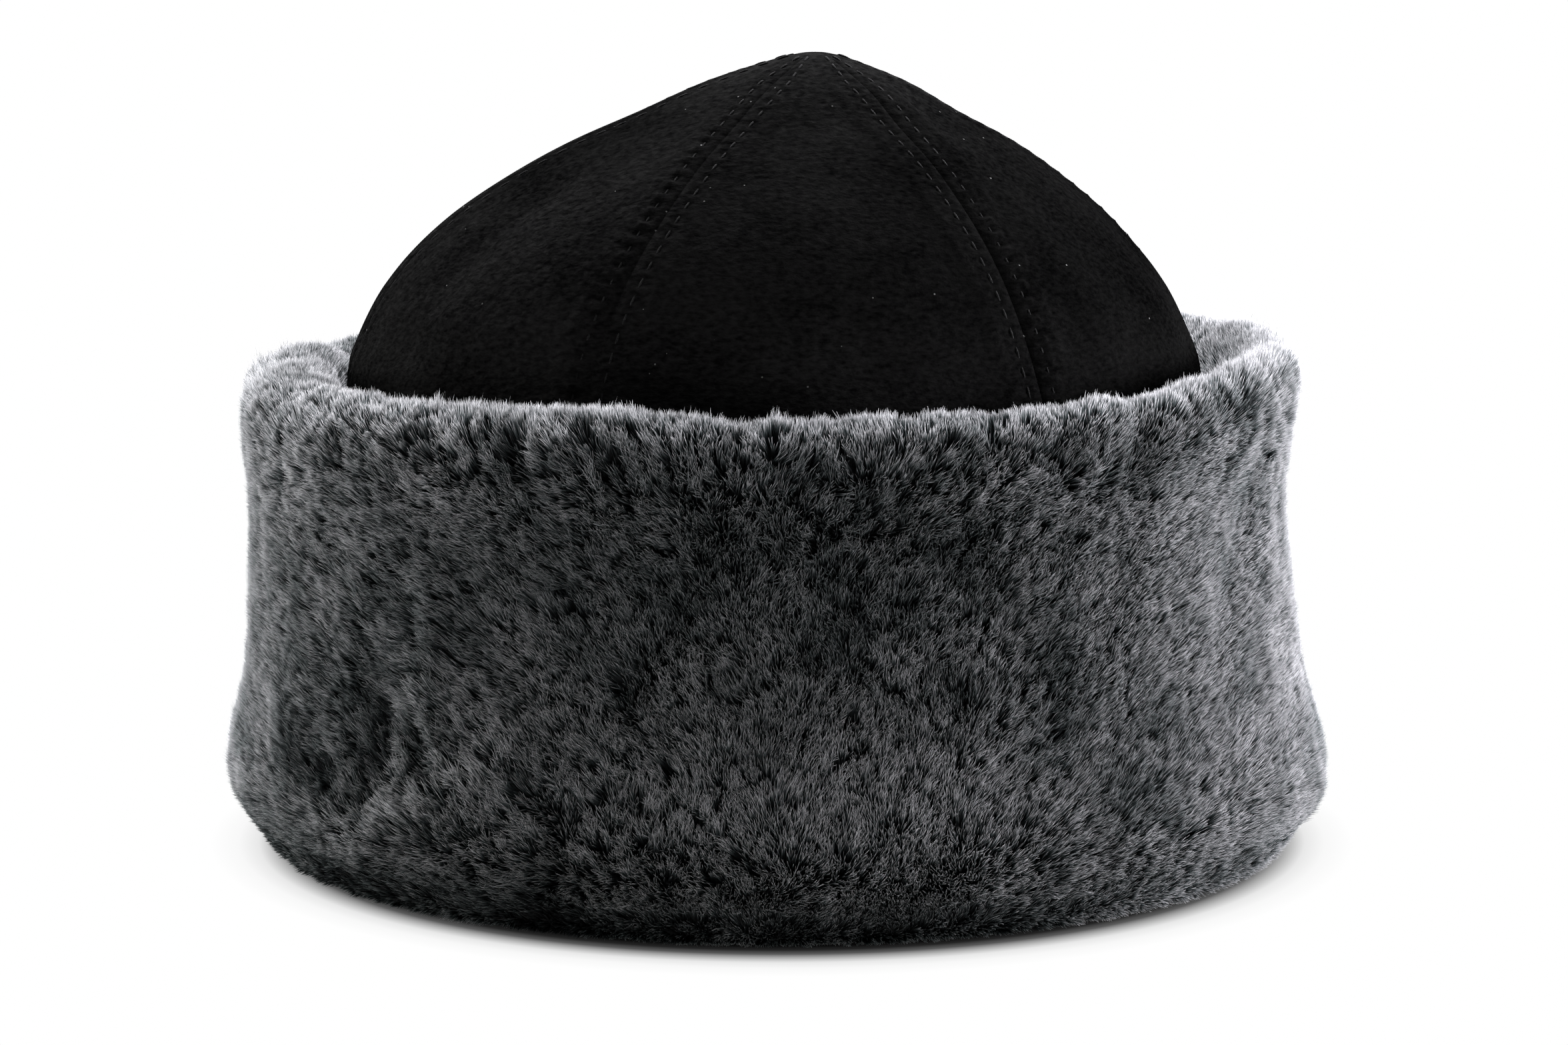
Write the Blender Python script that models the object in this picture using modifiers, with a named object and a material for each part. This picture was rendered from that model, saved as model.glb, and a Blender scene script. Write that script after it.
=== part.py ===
"""Kubanka: a peaked crown of six black suede gores in a deep cuff of dark sheepskin with pale tips.

Metres, +Z up. The hat stands on the lower edge of its cuff, and its front faces -Y. Azimuths are
in degrees from the front, positive towards +X, the wearer's left.
"""

import math

import bpy
import numpy as np
from mathutils import Vector

MM = 0.001

# Head and walls
HEAD_GIRTH = 570 * MM
SUEDE_THICKNESS = 2.0 * MM
CLEARANCE = 0.3 * MM
HEAD_RADIUS = HEAD_GIRTH / (2 * math.pi)
CROWN_WALL_RADIUS = HEAD_RADIUS + SUEDE_THICKNESS

# Crown
SEAM_AZIMUTHS = (-22.0, 36.5, 97.0, 157.0, 218.0, 278.0)
PEAK_HEIGHT = 169.4 * MM
CROWN_FOOT_HEIGHT = 4.0 * MM
SEAM_TIP_RADIUS = 1.2 * MM
LEAN_START_HEIGHT = 110 * MM
PEAK_LEAN = 8.6 * MM
LEAN_POWER = 2.3
# Below the first height the cuff hides the crown's wall, which is plain there
CROWN_HIDDEN_HEIGHT = 97 * MM
CROWN_SHOWN_HEIGHT = 105 * MM
WALL_TOP_HEIGHT = 88 * MM
SHOWN_ROWS = 14
HIDDEN_ROWS = 2

# The crown's outline along a seam, from the peak down, with radius and height in millimetres
CROWN_OUTLINE = (
    (5.0, 168.8),
    (11.0, 167.0),
    (22.4, 162.8),
    (35.3, 156.3),
    (48.5, 149.9),
    (59.0, 143.4),
    (70.3, 134.8),
    (78.8, 126.1),
    (84.9, 117.4),
    (89.5, 108.5),
    (91.5, 103.5),
    (92.6, 96.0),
)

# How flat the panels are between their seams, with height in millimetres.
# 1 is a flat facet, 0 a round crown, and below 0 the panel stands out between the seams.
PANEL_FLATNESS = (
    (100.0, 0.0),
    (118.0, -0.12),
    (135.0, 0.02),
    (150.0, 0.30),
    (169.0, 0.45),
)

# Across a seam, from its cut edge: distance and rise over the panel, in millimetres
SEAM_SECTION = (
    (0.0, -0.7),
    (1.9, 0.6),
    (5.0, 0.5),
    (6.8, 0.0),
)
# The seam's section shrinks where a gore's half is narrower than this
SEAM_FULL_WIDTH = 9.0 * MM

# Soft creases of the crown: azimuth (deg) and height (mm) of both ends, half width (mm), rise (mm)
CROWN_CREASES = (
    # azimuth_a, height_a, azimuth_b, height_b, half_width, rise
    (48.0, 158.0, 52.0, 118.0, 5.0, 0.9),
    (-57.0, 139.0, -60.0, 112.0, 5.0, -1.6),
    (86.0, 128.0, 80.0, 106.0, 6.0, -1.3),
    (5.0, 128.0, 18.0, 106.0, 9.0, -0.7),
    (150.0, 140.0, 162.0, 110.0, 7.0, -1.2),
    (-120.0, 132.0, -112.0, 108.0, 6.0, -1.1),
)

# Cuff
CUFF_SIDES = 120
OUTER_RINGS = 18
INNER_RINGS = 9
CUFF_INNER_RADIUS = CROWN_WALL_RADIUS + CLEARANCE
FOOT_INNER_RADIUS = 97 * MM
FOOT_OUTER_RADIUS = 108 * MM
CREST_RADIUS = 102.9 * MM
CREST_HEIGHT = 106.2 * MM
RIM_TILT = 1.4 * MM
RIM_TILT_START_HEIGHT = 55 * MM

# The cuff's outer side, from under its crest down to the foot, radius and height in millimetres
CUFF_OUTER_OUTLINE = (
    (108.8, 104.9),
    (112.6, 101.2),
    (114.4, 95.0),
    (114.0, 88.0),
    (112.2, 76.0),
    (113.0, 60.0),
    (114.3, 45.0),
    (116.2, 33.0),
    (119.2, 24.0),
    (120.1, 15.5),
    (118.2, 7.5),
    (113.2, 2.0),
)
# Its inner side, from the foot up: distance out of the straight inner wall and height, in mm
CUFF_INNER_OUTLINE = (
    (0.6, 3.6),
    (0.0, 9.0),
    (0.0, 88.0),
    (1.8, 98.0),
    (4.8, 104.0),
)

# How far the cuff's outer side sits to the side (+X), by height, in millimetres
CUFF_SHIFT = (
    (0.0, 0.9),
    (15.0, 0.7),
    (40.0, -0.4),
    (65.0, -1.3),
    (85.0, -1.8),
    (96.0, -1.0),
    (106.0, 1.4),
)

# Locks of the sheared fur, as a coarse relief
LOCKS_AROUND = 40
LOCK_LENGTH = 15 * MM
LOCK_LEAN = 0.35
LOCK_RELIEF = 0.8 * MM
FLEECE_RIPPLE = 0.25 * MM
# Radii and heights between which the relief grows from none to full
RELIEF_RADII = (97 * MM, 104 * MM)
RELIEF_HEIGHTS = (0.5 * MM, 9 * MM)

# Hollows and lumps of the fur: azimuth (deg) and height (mm) of both ends, half width, rise (mm)
FUR_FORMS = (
    # azimuth_a, height_a, azimuth_b, height_b, half_width, rise
    (-4.1, 109.0, -4.4, 98.0, 3.5, -2.4),
    (-20.0, 106.0, -14.0, 106.0, 8.0, 1.2),
    (1.0, 106.0, 9.0, 106.0, 9.0, -1.2),
    (43.0, 107.0, 41.0, 92.0, 4.5, -2.2),
    (-45.0, 48.0, -44.0, 27.0, 6.0, -2.4),
    (-48.0, 12.0, -32.0, 27.0, 7.0, 1.6),
    (-60.0, 38.0, -64.0, 34.0, 6.0, 1.4),
    (-37.0, 68.0, -37.0, 36.0, 3.5, 1.0),
    (-12.6, 42.0, -13.5, 32.0, 5.0, -1.5),
    (-22.0, 13.0, -24.0, 8.0, 6.0, -1.4),
    (24.0, 66.0, 31.0, 44.0, 6.0, -1.2),
    (66.0, 84.0, 58.0, 58.0, 6.0, -1.2),
    (112.0, 90.0, 120.0, 52.0, 7.0, -1.6),
    (175.0, 108.0, 176.0, 92.0, 5.0, -2.0),
    (-150.0, 60.0, -140.0, 34.0, 8.0, 1.5),
    (-98.0, 86.0, -92.0, 60.0, 7.0, -1.5),
)

SUEDE_COLOUR = (0.010, 0.010, 0.011, 1)
FUR_COLOUR = (0.11, 0.115, 0.125, 1)


def clear_scene():
    for item in list(bpy.data.objects):
        bpy.data.objects.remove(item, do_unlink=True)


def new_collection(name):
    collection = bpy.data.collections.new(name)
    bpy.context.scene.collection.children.link(collection)
    return collection


def new_material(name, colour, roughness):
    material = bpy.data.materials.new(name)
    material.use_nodes = True
    principled = material.node_tree.nodes["Principled BSDF"]
    principled.inputs["Base Color"].default_value = colour
    principled.inputs["Roughness"].default_value = roughness
    principled.inputs["Metallic"].default_value = 0.0
    material.diffuse_color = colour
    return material


def read_table(rows, position):
    """The second column of a table whose first column rises, at a position in metres, as written."""
    first, second = np.array(rows).T
    return np.interp(position / MM, first, second)


def smoothstep(value, low, high):
    share = min(max((value - low) / (high - low), 0.0), 1.0)
    return share * share * (3 - 2 * share)


class SmoothLine:
    """A smooth line through points (radius, height), read by its length from the first point."""

    def __init__(self, points):
        self.points = np.array(points, float)
        steps = np.linalg.norm(np.diff(self.points, axis=0), axis=1)
        self.marks = np.concatenate([[0.0], np.cumsum(steps)])
        self.length = float(self.marks[-1])
        runs = np.diff(self.points, axis=0) / steps[:, None]
        before, after = runs[:-1], runs[1:]
        product = np.maximum(before * after, 0.0)
        total = before + after
        # Harmonic means, and 0 where a run turns back, so that the line never overshoots a point
        means = np.divide(2 * product, total, out=np.zeros_like(total), where=product > 0)
        self.slopes = np.vstack([runs[:1], means, runs[-1:]])

    def at(self, distance):
        span = np.searchsorted(self.marks, distance, side="right") - 1
        span = min(max(int(span), 0), len(self.points) - 2)
        start, end = self.marks[span], self.marks[span + 1]
        size = end - start
        t = (distance - start) / size
        return (
            (2 * t**3 - 3 * t**2 + 1) * self.points[span]
            + (t**3 - 2 * t**2 + t) * size * self.slopes[span]
            + (3 * t**2 - 2 * t**3) * self.points[span + 1]
            + (t**3 - t**2) * size * self.slopes[span + 1]
        )

    def outward(self, distance):
        """The unit normal, away from the axis where the line runs down an outer side."""
        step = 0.2 * MM
        before = self.at(max(distance - step, 0.0))
        after = self.at(min(distance + step, self.length))
        radius, height = after - before
        size = math.hypot(radius, height)
        return -height / size, radius / size


def form_rise(forms, azimuth, height, radius):
    """The summed rise of all the soft ridges and hollows at one place of a round surface."""
    total = 0.0
    for azimuth_a, height_a, azimuth_b, height_b, half_width, rise in forms:
        turn = (azimuth - azimuth_a + 180) % 360 - 180
        place = Vector((math.radians(turn) * radius, height - height_a * MM))
        along = Vector((math.radians(azimuth_b - azimuth_a) * radius, (height_b - height_a) * MM))
        share = min(max(place.dot(along) / along.length_squared, 0.0), 1.0)
        away = (place - along * share).length / (half_width * MM)
        total += rise * MM * math.exp(-away * away)
    return total


def around(radius, azimuth, height, shift):
    """A point at this radius and azimuth about an axis that is shifted to the side (+X)."""
    angle = math.radians(azimuth)
    return Vector((shift + radius * math.sin(angle), -radius * math.cos(angle), height))


def crown_line():
    shown = [(radius * MM, height * MM) for radius, height in CROWN_OUTLINE]
    wall = [(CROWN_WALL_RADIUS, height) for height in (WALL_TOP_HEIGHT, CROWN_FOOT_HEIGHT)]
    return SmoothLine([(SEAM_TIP_RADIUS, PEAK_HEIGHT), *shown, *wall])


def crown_lean(height):
    """How far the crown's axis lies to the side, growing from the shoulder up to the peak."""
    share = max(height - LEAN_START_HEIGHT, 0.0) / (PEAK_HEIGHT - LEAN_START_HEIGHT)
    return PEAK_LEAN * share**LEAN_POWER


def seam_columns(radius, half_gore):
    """Angles in degrees from a seam to the middle of a gore, and the welt's rise at each."""
    edge = math.degrees(math.asin(CLEARANCE / 2 / radius))
    room = math.radians(half_gore - edge) * radius
    scale = min(1.0, room / SEAM_FULL_WIDTH)
    columns = [
        (edge + math.degrees(distance * MM * scale / radius), rise * MM * scale)
        for distance, rise in SEAM_SECTION
    ]
    last = columns[-1][0]
    columns.append(((last + half_gore) / 2, 0.0))
    columns.append((half_gore, 0.0))
    return columns


def crown_point(line, distance, from_seam, seam_azimuth, half_gore, rise):
    """A point of the crown's outer face, from_seam degrees past the seam at seam_azimuth."""
    radius, height = line.at(distance)
    off_middle = math.radians(half_gore - min(from_seam, 2 * half_gore - from_seam))
    facet = math.cos(math.radians(half_gore)) / math.cos(off_middle)
    radius *= 1 - read_table(PANEL_FLATNESS, height) * (1 - facet)
    azimuth = seam_azimuth + from_seam
    shown = smoothstep(height, CROWN_HIDDEN_HEIGHT, CROWN_SHOWN_HEIGHT)
    rise = (rise + form_rise(CROWN_CREASES, azimuth, height, radius)) * shown
    out, up = line.outward(distance)
    return around(radius + rise * out, azimuth, height + rise * up, crown_lean(height))


def gore_rows(line):
    """Distances down the crown's outline: close where the crown shows, wide on the hidden wall."""
    rim = next(
        distance
        for distance in np.arange(0.0, line.length, MM)
        if line.at(distance)[1] < CROWN_HIDDEN_HEIGHT
    )
    shown = np.linspace(0.0, rim, SHOWN_ROWS)
    hidden = np.linspace(rim, line.length, HIDDEN_ROWS + 1)[1:]
    return [*shown, *hidden]


def build_gore(index, line, collection, material):
    seam_azimuth = SEAM_AZIMUTHS[index]
    next_seam = SEAM_AZIMUTHS[(index + 1) % len(SEAM_AZIMUTHS)]
    half_gore = ((next_seam - seam_azimuth) % 360.0) / 2
    rows = gore_rows(line)
    columns = 2 * len(seam_columns(line.points[-1][0], half_gore)) - 1
    bpy.ops.mesh.primitive_grid_add(
        x_subdivisions=columns - 1, y_subdivisions=len(rows) - 1, size=2
    )
    gore = bpy.context.object
    gore.name = f"crown_gore_{index + 1}"
    gore.data.name = gore.name
    for vertex in gore.data.vertices:
        column = round((vertex.co.x + 1) / 2 * (columns - 1))
        row = round((1 - vertex.co.y) / 2 * (len(rows) - 1))
        distance = rows[row]
        half = seam_columns(line.at(distance)[0], half_gore)
        mirrored = column >= len(half)
        angle, rise = half[columns - 1 - column if mirrored else column]
        from_seam = 2 * half_gore - angle if mirrored else angle
        vertex.co = crown_point(line, distance, from_seam, seam_azimuth, half_gore, rise)
    wall = gore.modifiers.new("Suede wall", "SOLIDIFY")
    wall.thickness = SUEDE_THICKNESS
    wall.offset = -1.0
    wall.use_even_offset = True
    gore.data.shade_smooth()
    gore.data.materials.append(material)
    move_to(gore, collection)
    return gore


def cuff_profile():
    """The cuff's closed section: down its outer side, along the foot and up its inner side."""
    crest = (CREST_RADIUS, CREST_HEIGHT)
    outer = [(radius * MM, height * MM) for radius, height in CUFF_OUTER_OUTLINE]
    inner = [(CUFF_INNER_RADIUS + out * MM, height * MM) for out, height in CUFF_INNER_OUTLINE]
    down = SmoothLine([crest, *outer, (FOOT_OUTER_RADIUS, 0.0)])
    up = SmoothLine([*inner, crest])
    outer_points = [down.at(d) for d in np.linspace(0.0, down.length, OUTER_RINGS + 1)]
    inner_points = [up.at(d) for d in np.linspace(0.0, up.length, INNER_RINGS + 1)[:-1]]
    foot_edge = (FOOT_INNER_RADIUS, 0.0)
    return [tuple(point) for point in (*outer_points, foot_edge, *inner_points)]


def turned_cuff(collection):
    points = cuff_profile()
    mesh = bpy.data.meshes.new("cuff_profile")
    vertices = [(radius, 0.0, height) for radius, height in points]
    edges = [(i, (i + 1) % len(points)) for i in range(len(points))]
    mesh.from_pydata(vertices, edges, [])
    profile = bpy.data.objects.new("cuff_profile", mesh)
    collection.objects.link(profile)
    screw = profile.modifiers.new("Turn", "SCREW")
    screw.axis = "Z"
    screw.steps = CUFF_SIDES
    screw.render_steps = CUFF_SIDES
    screw.use_merge_vertices = True
    screw.merge_threshold = 0.00001
    depsgraph = bpy.context.evaluated_depsgraph_get()
    turned = bpy.data.meshes.new_from_object(profile.evaluated_get(depsgraph))
    bpy.data.objects.remove(profile, do_unlink=True)
    turned.name = "fur_cuff"
    cuff = bpy.data.objects.new("fur_cuff", turned)
    collection.objects.link(cuff)
    return cuff


def fur_share(radius, height):
    """1 on the cuff's outer side and near its crest, 0 on the foot and on the inner side."""
    return smoothstep(radius, *RELIEF_RADII) * smoothstep(height, *RELIEF_HEIGHTS)


def lock_relief(azimuth, height):
    """Staggered locks that lean to one side, over a slow unevenness of the whole fleece."""
    row = height / LOCK_LENGTH
    lock = azimuth / 360.0 * LOCKS_AROUND + LOCK_LEAN * row
    locks = math.cos(2 * math.pi * lock) * math.cos(math.pi * row)
    cross = math.cos(2 * math.pi * lock * 0.4 + 2.1 * row) * math.cos(1.7 * row + 0.6)
    angle = math.radians(azimuth)
    slow = math.sin(3 * angle + 1.1 * row) + math.sin(7 * angle - 0.8 * row + 1.0)
    return LOCK_RELIEF * (0.6 * locks + 0.4 * cross) + FLEECE_RIPPLE * slow


def build_cuff(collection, material):
    cuff = turned_cuff(collection)
    normals = [vertex.normal.copy() for vertex in cuff.data.vertices]
    for vertex, normal in zip(cuff.data.vertices, normals):
        place = vertex.co.copy()
        radius = math.hypot(place.x, place.y)
        azimuth = math.degrees(math.atan2(place.x, -place.y))
        share = fur_share(radius, place.z)
        rise = lock_relief(azimuth, place.z) + form_rise(FUR_FORMS, azimuth, place.z, radius)
        place += normal * rise * share
        outer = smoothstep(radius, *RELIEF_RADII)
        place.x += read_table(CUFF_SHIFT, place.z) * MM * outer
        tilt = smoothstep(place.z, RIM_TILT_START_HEIGHT, CREST_HEIGHT) * outer
        place.z += RIM_TILT * math.sin(math.radians(azimuth)) * tilt
        vertex.co = place
    cuff.data.shade_smooth()
    cuff.data.materials.clear()
    cuff.data.materials.append(material)
    return cuff


def move_to(item, collection):
    for old in list(item.users_collection):
        old.objects.unlink(item)
    collection.objects.link(item)


def stand_on_origin(pieces, collection):
    """Centres the whole hat over the origin, under one empty that every piece hangs from."""
    bpy.context.view_layer.update()
    depsgraph = bpy.context.evaluated_depsgraph_get()
    corners = [
        vertex.co.copy()
        for piece in pieces
        for vertex in piece.evaluated_get(depsgraph).data.vertices
    ]
    low = Vector(min(corner[axis] for corner in corners) for axis in range(3))
    high = Vector(max(corner[axis] for corner in corners) for axis in range(3))
    hat = bpy.data.objects.new("kubanka", None)
    collection.objects.link(hat)
    hat.location = (-(low.x + high.x) / 2, -(low.y + high.y) / 2, -low.z)
    for piece in pieces:
        piece.parent = hat


def main():
    clear_scene()
    collection = new_collection("Kubanka")
    new_collection("Cutters")
    suede = new_material("black_suede", SUEDE_COLOUR, 0.95)
    fur = new_material("dark_sheepskin", FUR_COLOUR, 0.85)
    line = crown_line()
    pieces = [build_gore(index, line, collection, suede) for index in range(len(SEAM_AZIMUTHS))]
    pieces.append(build_cuff(collection, fur))
    stand_on_origin(pieces, collection)


main()
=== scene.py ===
"""Kubanka: suede gores with topstitched seams and a cuff of sheared sheepskin.

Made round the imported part. Metres, +Z up, front towards -Y. Azimuths are in degrees from the
front, positive towards +X.
"""

import math

import bmesh
import bpy
import numpy as np
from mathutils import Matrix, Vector, noise


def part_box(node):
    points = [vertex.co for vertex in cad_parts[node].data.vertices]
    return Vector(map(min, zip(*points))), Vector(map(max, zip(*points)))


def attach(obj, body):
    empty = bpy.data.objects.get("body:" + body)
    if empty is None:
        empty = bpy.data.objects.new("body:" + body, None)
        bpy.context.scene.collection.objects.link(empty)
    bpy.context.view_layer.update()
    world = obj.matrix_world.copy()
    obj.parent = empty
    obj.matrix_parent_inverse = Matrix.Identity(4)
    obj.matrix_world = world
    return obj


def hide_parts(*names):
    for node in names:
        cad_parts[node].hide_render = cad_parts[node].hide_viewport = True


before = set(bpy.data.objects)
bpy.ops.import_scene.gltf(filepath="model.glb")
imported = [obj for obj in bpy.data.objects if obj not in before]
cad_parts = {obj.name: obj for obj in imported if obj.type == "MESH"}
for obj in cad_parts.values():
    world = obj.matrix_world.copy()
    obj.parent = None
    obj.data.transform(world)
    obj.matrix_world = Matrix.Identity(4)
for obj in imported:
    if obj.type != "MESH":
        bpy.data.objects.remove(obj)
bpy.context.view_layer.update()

MM = 0.001

# Camera, from the photograph
CAMERA_PLACE = (0.0017, -1.060, 0.241)
CAMERA_PITCH = 0.1625
CAMERA_LENS = 113.27
CAMERA_SENSOR = 36
CAMERA_NEAR = 0.05

# The floor: its size, its glow, and the middle, reach and shape of its painted contact shadow
FLOOR_RADIUS = 0.9
FLOOR_SIDES = 64
FLOOR_GLOW = 0.55
SHADOW_MIDDLE = (1.2 * MM, -5.0 * MM, 0.0)
SHADOW_NARROWING = (1.03, 1.0, 1.0)
SHADOW_FROM = 100 * MM
SHADOW_TO = 140 * MM

# Lights: the fill from all round, where the softboxes aim, and each one's name, place, width,
# depth, power in watts and tint
FILL_STRENGTH = 0.012
LIGHTS_AIM = (0, 0, 0.08)
SOFTBOXES = (
    ("left softbox", (-0.84, 0.45, 0.20), 0.6, 0.3, 9.4, "#ffffff"),
    ("right softbox", (0.95, 0.00, 0.20), 0.6, 0.3, 15.0, "#f8f6ff"),
    ("right rear softbox", (0.84, 0.45, 0.20), 0.6, 0.3, 23.8, "#f8f6ff"),
    ("rear softbox", (0.0, 0.75, 0.85), 1.0, 0.6, 80.0, "#f9f8ff"),
    ("top softbox", (0.05, 0.10, 1.10), 0.8, 0.8, 6.5, "#fbfbff"),
)

# The crown: the outline and the seams of the part's source, but with the peak closed
HEAD_GIRTH = 570 * MM
SUEDE_THICKNESS = 2 * MM
CROWN_WALL_RADIUS = HEAD_GIRTH / (2 * math.pi) + SUEDE_THICKNESS
SEAM_AZIMUTHS = (-22.0, 36.5, 97.0, 157.0, 218.0, 278.0)
# Less than nothing: the cut edges press together, so that no light comes through a seam
SEAM_SLIT = -0.02 * MM
PEAK_HEIGHT = 169.4 * MM
CROWN_FOOT_HEIGHT = 4 * MM
SEAM_TIP_RADIUS = 0.12 * MM
LEAN_START_HEIGHT = 110 * MM
PEAK_LEAN = 8.6 * MM
LEAN_POWER = 2.3
WALL_TOP_HEIGHT = 88 * MM
# Seams and creases fade out over these heights, on their way down behind the cuff
CROWN_HIDDEN_HEIGHT = 97 * MM
CROWN_SHOWN_HEIGHT = 105 * MM
# Radius and height in millimetres, from the peak down
CROWN_OUTLINE = (
    (1.2, 169.4),
    (5.0, 168.8),
    (11.0, 167.0),
    (22.4, 162.8),
    (35.3, 156.3),
    (48.5, 149.9),
    (59.0, 143.4),
    (70.3, 134.8),
    (78.8, 126.1),
    (84.9, 117.4),
    (89.5, 108.5),
    (91.5, 103.5),
    (92.6, 96.0),
)
# Height in millimetres and how flat the panels are between their seams
PANEL_FLATNESS = ((100.0, 0.0), (118.0, -0.12), (135.0, 0.02), (150.0, 0.30), (169.0, 0.45))
# Distance from a seam's cut edge and rise of the pressed seam allowance, in millimetres
SEAM_SECTION = (
    (0.0, -0.36),
    (0.5, -0.06),
    (1.3, 0.12),
    (2.2, 0.19),
    (6.2, 0.20),
    (7.3, 0.30),
    (8.3, 0.14),
    (9.4, 0.0),
)
SEAM_FULL_WIDTH = 9.8 * MM
# The seam to the front left drifts sideways on its way down: its azimuth, how far the drift
# reaches to both sides and how much it is at the cuff, in degrees, and where it begins and is full
SEAM_DRIFT = (-22.0, 24.0, -2.4)
DRIFT_BEGIN_HEIGHT = 150 * MM
DRIFT_FULL_HEIGHT = 105 * MM
# The step over which the crown's facing is read, and the angle from which an edge stays sharp
NORMAL_STEP = 0.2 * MM
SHARP_EDGE = 55
# Soft creases: azimuth (deg) and height (mm) of both ends, half width (mm), rise (mm)
CROWN_CREASES = (
    (48.0, 158.0, 52.0, 118.0, 5.0, 0.9),
    (-57.0, 139.0, -60.0, 112.0, 5.0, -1.6),
    (86.0, 128.0, 80.0, 106.0, 6.0, -1.3),
    (5.0, 128.0, 18.0, 106.0, 9.0, -0.7),
    (150.0, 140.0, 162.0, 110.0, 7.0, -1.2),
    (-120.0, 132.0, -112.0, 108.0, 6.0, -1.1),
)

# Patterns of suede and thread, as how many fit in a metre: flecks of nap 1.8 mm wide and 0.8 mm
# high, drawn much coarser than real nap so that they show, patches 20 mm across that a hand has
# brushed, rumples 4 mm apart, cells of 4 mm for the lint, and twists of the thread 0.4 mm long
NAP_FLECKS = 560.0
FLECK_STRETCH = (1.0, 1.0, 2.2)
BRUSHED_PATCHES = 50.0
RUMPLES = 260.0
LINT_CELLS = 250.0
THREAD_TWISTS = 2500.0
# How much flecks and patches count in the nap's tone, and what is added to them
FLECK_SHARE = 0.56
PATCH_SHARE = 0.28
NAP_OFFSET = 0.08
# Specks of lint 0.4 mm across: half of that as a share of a cell, and how high the cell's
# random number has to be for one
LINT_SIZE = 0.05
LINT_RARITY = 0.58
# Painted shade runs between these places on X, and painted light and shade between these heights
PAINTED_SHADE_FROM_X = -80 * MM
PAINTED_SHADE_TO_X = 80 * MM
PAINTED_SHADING_BOTTOM = 108 * MM
PAINTED_SHADING_TOP = 168 * MM
# The painted greys darken each other, so the nap's tone is brought up again
NAP_GAIN = 2.0
# A patch of painted shade high on the left: its middle, how far it is full and reaches, its tone
PAINTED_SHADE_MIDDLE = (-45 * MM, -6 * MM, 147 * MM)
PAINTED_SHADE_FULL = 12 * MM
PAINTED_SHADE_END = 42 * MM
PAINTED_SHADE_TONE = 0.6
# The rumples: the places on X where they are strong and weak, and how strong
RUMPLED_TO = -42 * MM
SMOOTH_FROM = -8 * MM
RUMPLED_SHARE = 2.2
SMOOTH_SHARE = 0.5
NAP_BUMP_STRENGTH = 0.7
NAP_BUMP_HEIGHT = 0.5 * MM

# Topstitching
STITCH_ROW = 3.3 * MM
STITCH_PITCH = 4.3 * MM
STITCH_LENGTH = 3.1 * MM
STITCH_START = 7.1 * MM
STITCH_END_GAP = 6 * MM
THREAD_WIDTH = 0.55 * MM
THREAD_LIFT = 0.18 * MM
THREAD_SIDES = 6
# A stitch's rings: place along it, thickness, and lift in threads' widths
STITCH_RINGS = (
    (-0.5, 0.35, -0.34),
    (-0.36, 0.85, 0.02),
    (-0.12, 1.0, 0.10),
    (0.12, 1.0, 0.10),
    (0.36, 0.85, 0.02),
    (0.5, 0.35, -0.34),
)
# To both sides of a row, for the way that its stitches face
ROW_INNER_SIDE = 2.0 * MM
ROW_OUTER_SIDE = 2.6 * MM
CROWN_MIDDLE_HEIGHT = 60 * MM
# Dents at the needle holes, and beads of suede between them, outside and inside the row: how
# deep or high, how far from the row, half width, and how they change along it
PUCKER_DEPTH = 0.42 * MM
PUCKER_HALF_WIDTH = 0.75 * MM
PUCKER_EVEN = 0.45
PUCKER_WAVE = 0.55
BEAD_RISE = 0.34 * MM
BEAD_EVEN = 0.2
BEAD_WAVE = -0.6
BEAD_OUTSIDE = 0.5 * MM
BEAD_HALF_WIDTH = 1.2 * MM
INNER_BEAD_SHARE = 0.4
INNER_BEAD_INSIDE = 1.1 * MM
INNER_BEAD_HALF_WIDTH = 0.7 * MM
PUFF_EVERYWHERE = 0.5
# Rows with puffed suede between the stitches: the gore's own seam, whether the row is at its
# other seam, the heights (mm) where the puffs begin and are full, and how much they stand out
PUFFED_ROWS = ((36.5, False, 152.0, 134.0, 2.5), (278.0, True, 166.0, 150.0, 1.9))
# Rows of a gore, about four to a stitch
GORE_ROW_STEP = 1.07 * MM
# Columns of a gore's half: distances from its cut edge in millimetres, then shares of the rest
SEAM_COLUMNS = (0.0, 0.5, 1.2, 1.9, 2.6, 3.3, 4.0, 4.7, 5.6, 6.5, 7.3, 8.3, 9.4)
PANEL_COLUMNS = (0.16, 0.36, 0.58, 0.79, 1.0)
WALL_ROWS = 4

# Locks of underwool 1.4 mm wide, as how many fit in a metre, and how much light comes through
# the strands
UNDERWOOL_LOCKS = 700.0
SHINING_THROUGH = 0.5
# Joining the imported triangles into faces: how near points are one, and how flat and even faces are
JOIN_DISTANCE = 0.01 * MM
JOIN_FLATNESS = 0.7
JOIN_EVENNESS = 1.6

# The pelt: how deep it lies under the strands' tips on the outer side, the crest and the lip
PELT_DEPTH = 4.0 * MM
CREST_DEPTH = 4.0 * MM
LIP_DEPTH = 2.6 * MM
SHORTEST_PILE = 0.5 * MM
# Where the cuff's outer side, its lip, its crest and its foot are, by radius, height or facing
OUTER_RADIUS = 100 * MM
OUTER_FACING = (-0.25, 0.35)
LIP_HEIGHTS = (88 * MM, 99 * MM)
CREST_HEIGHT = 80 * MM
CREST_FACING = (0.1, 0.8)
FOOT_HEIGHTS = (1 * MM, 12 * MM)
FOOT_TILT = 0.15
FOOT_THINNING = 0.3
HANGING_HEIGHT = 6 * MM
HANGING_PULL = 1.4
# No strands grow lower than this on the inner side, nor on the foot
BARE_RADIUS = 99 * MM
BARE_HEIGHT = 90 * MM
FOOT_HEIGHT = 0.1 * MM
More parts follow.
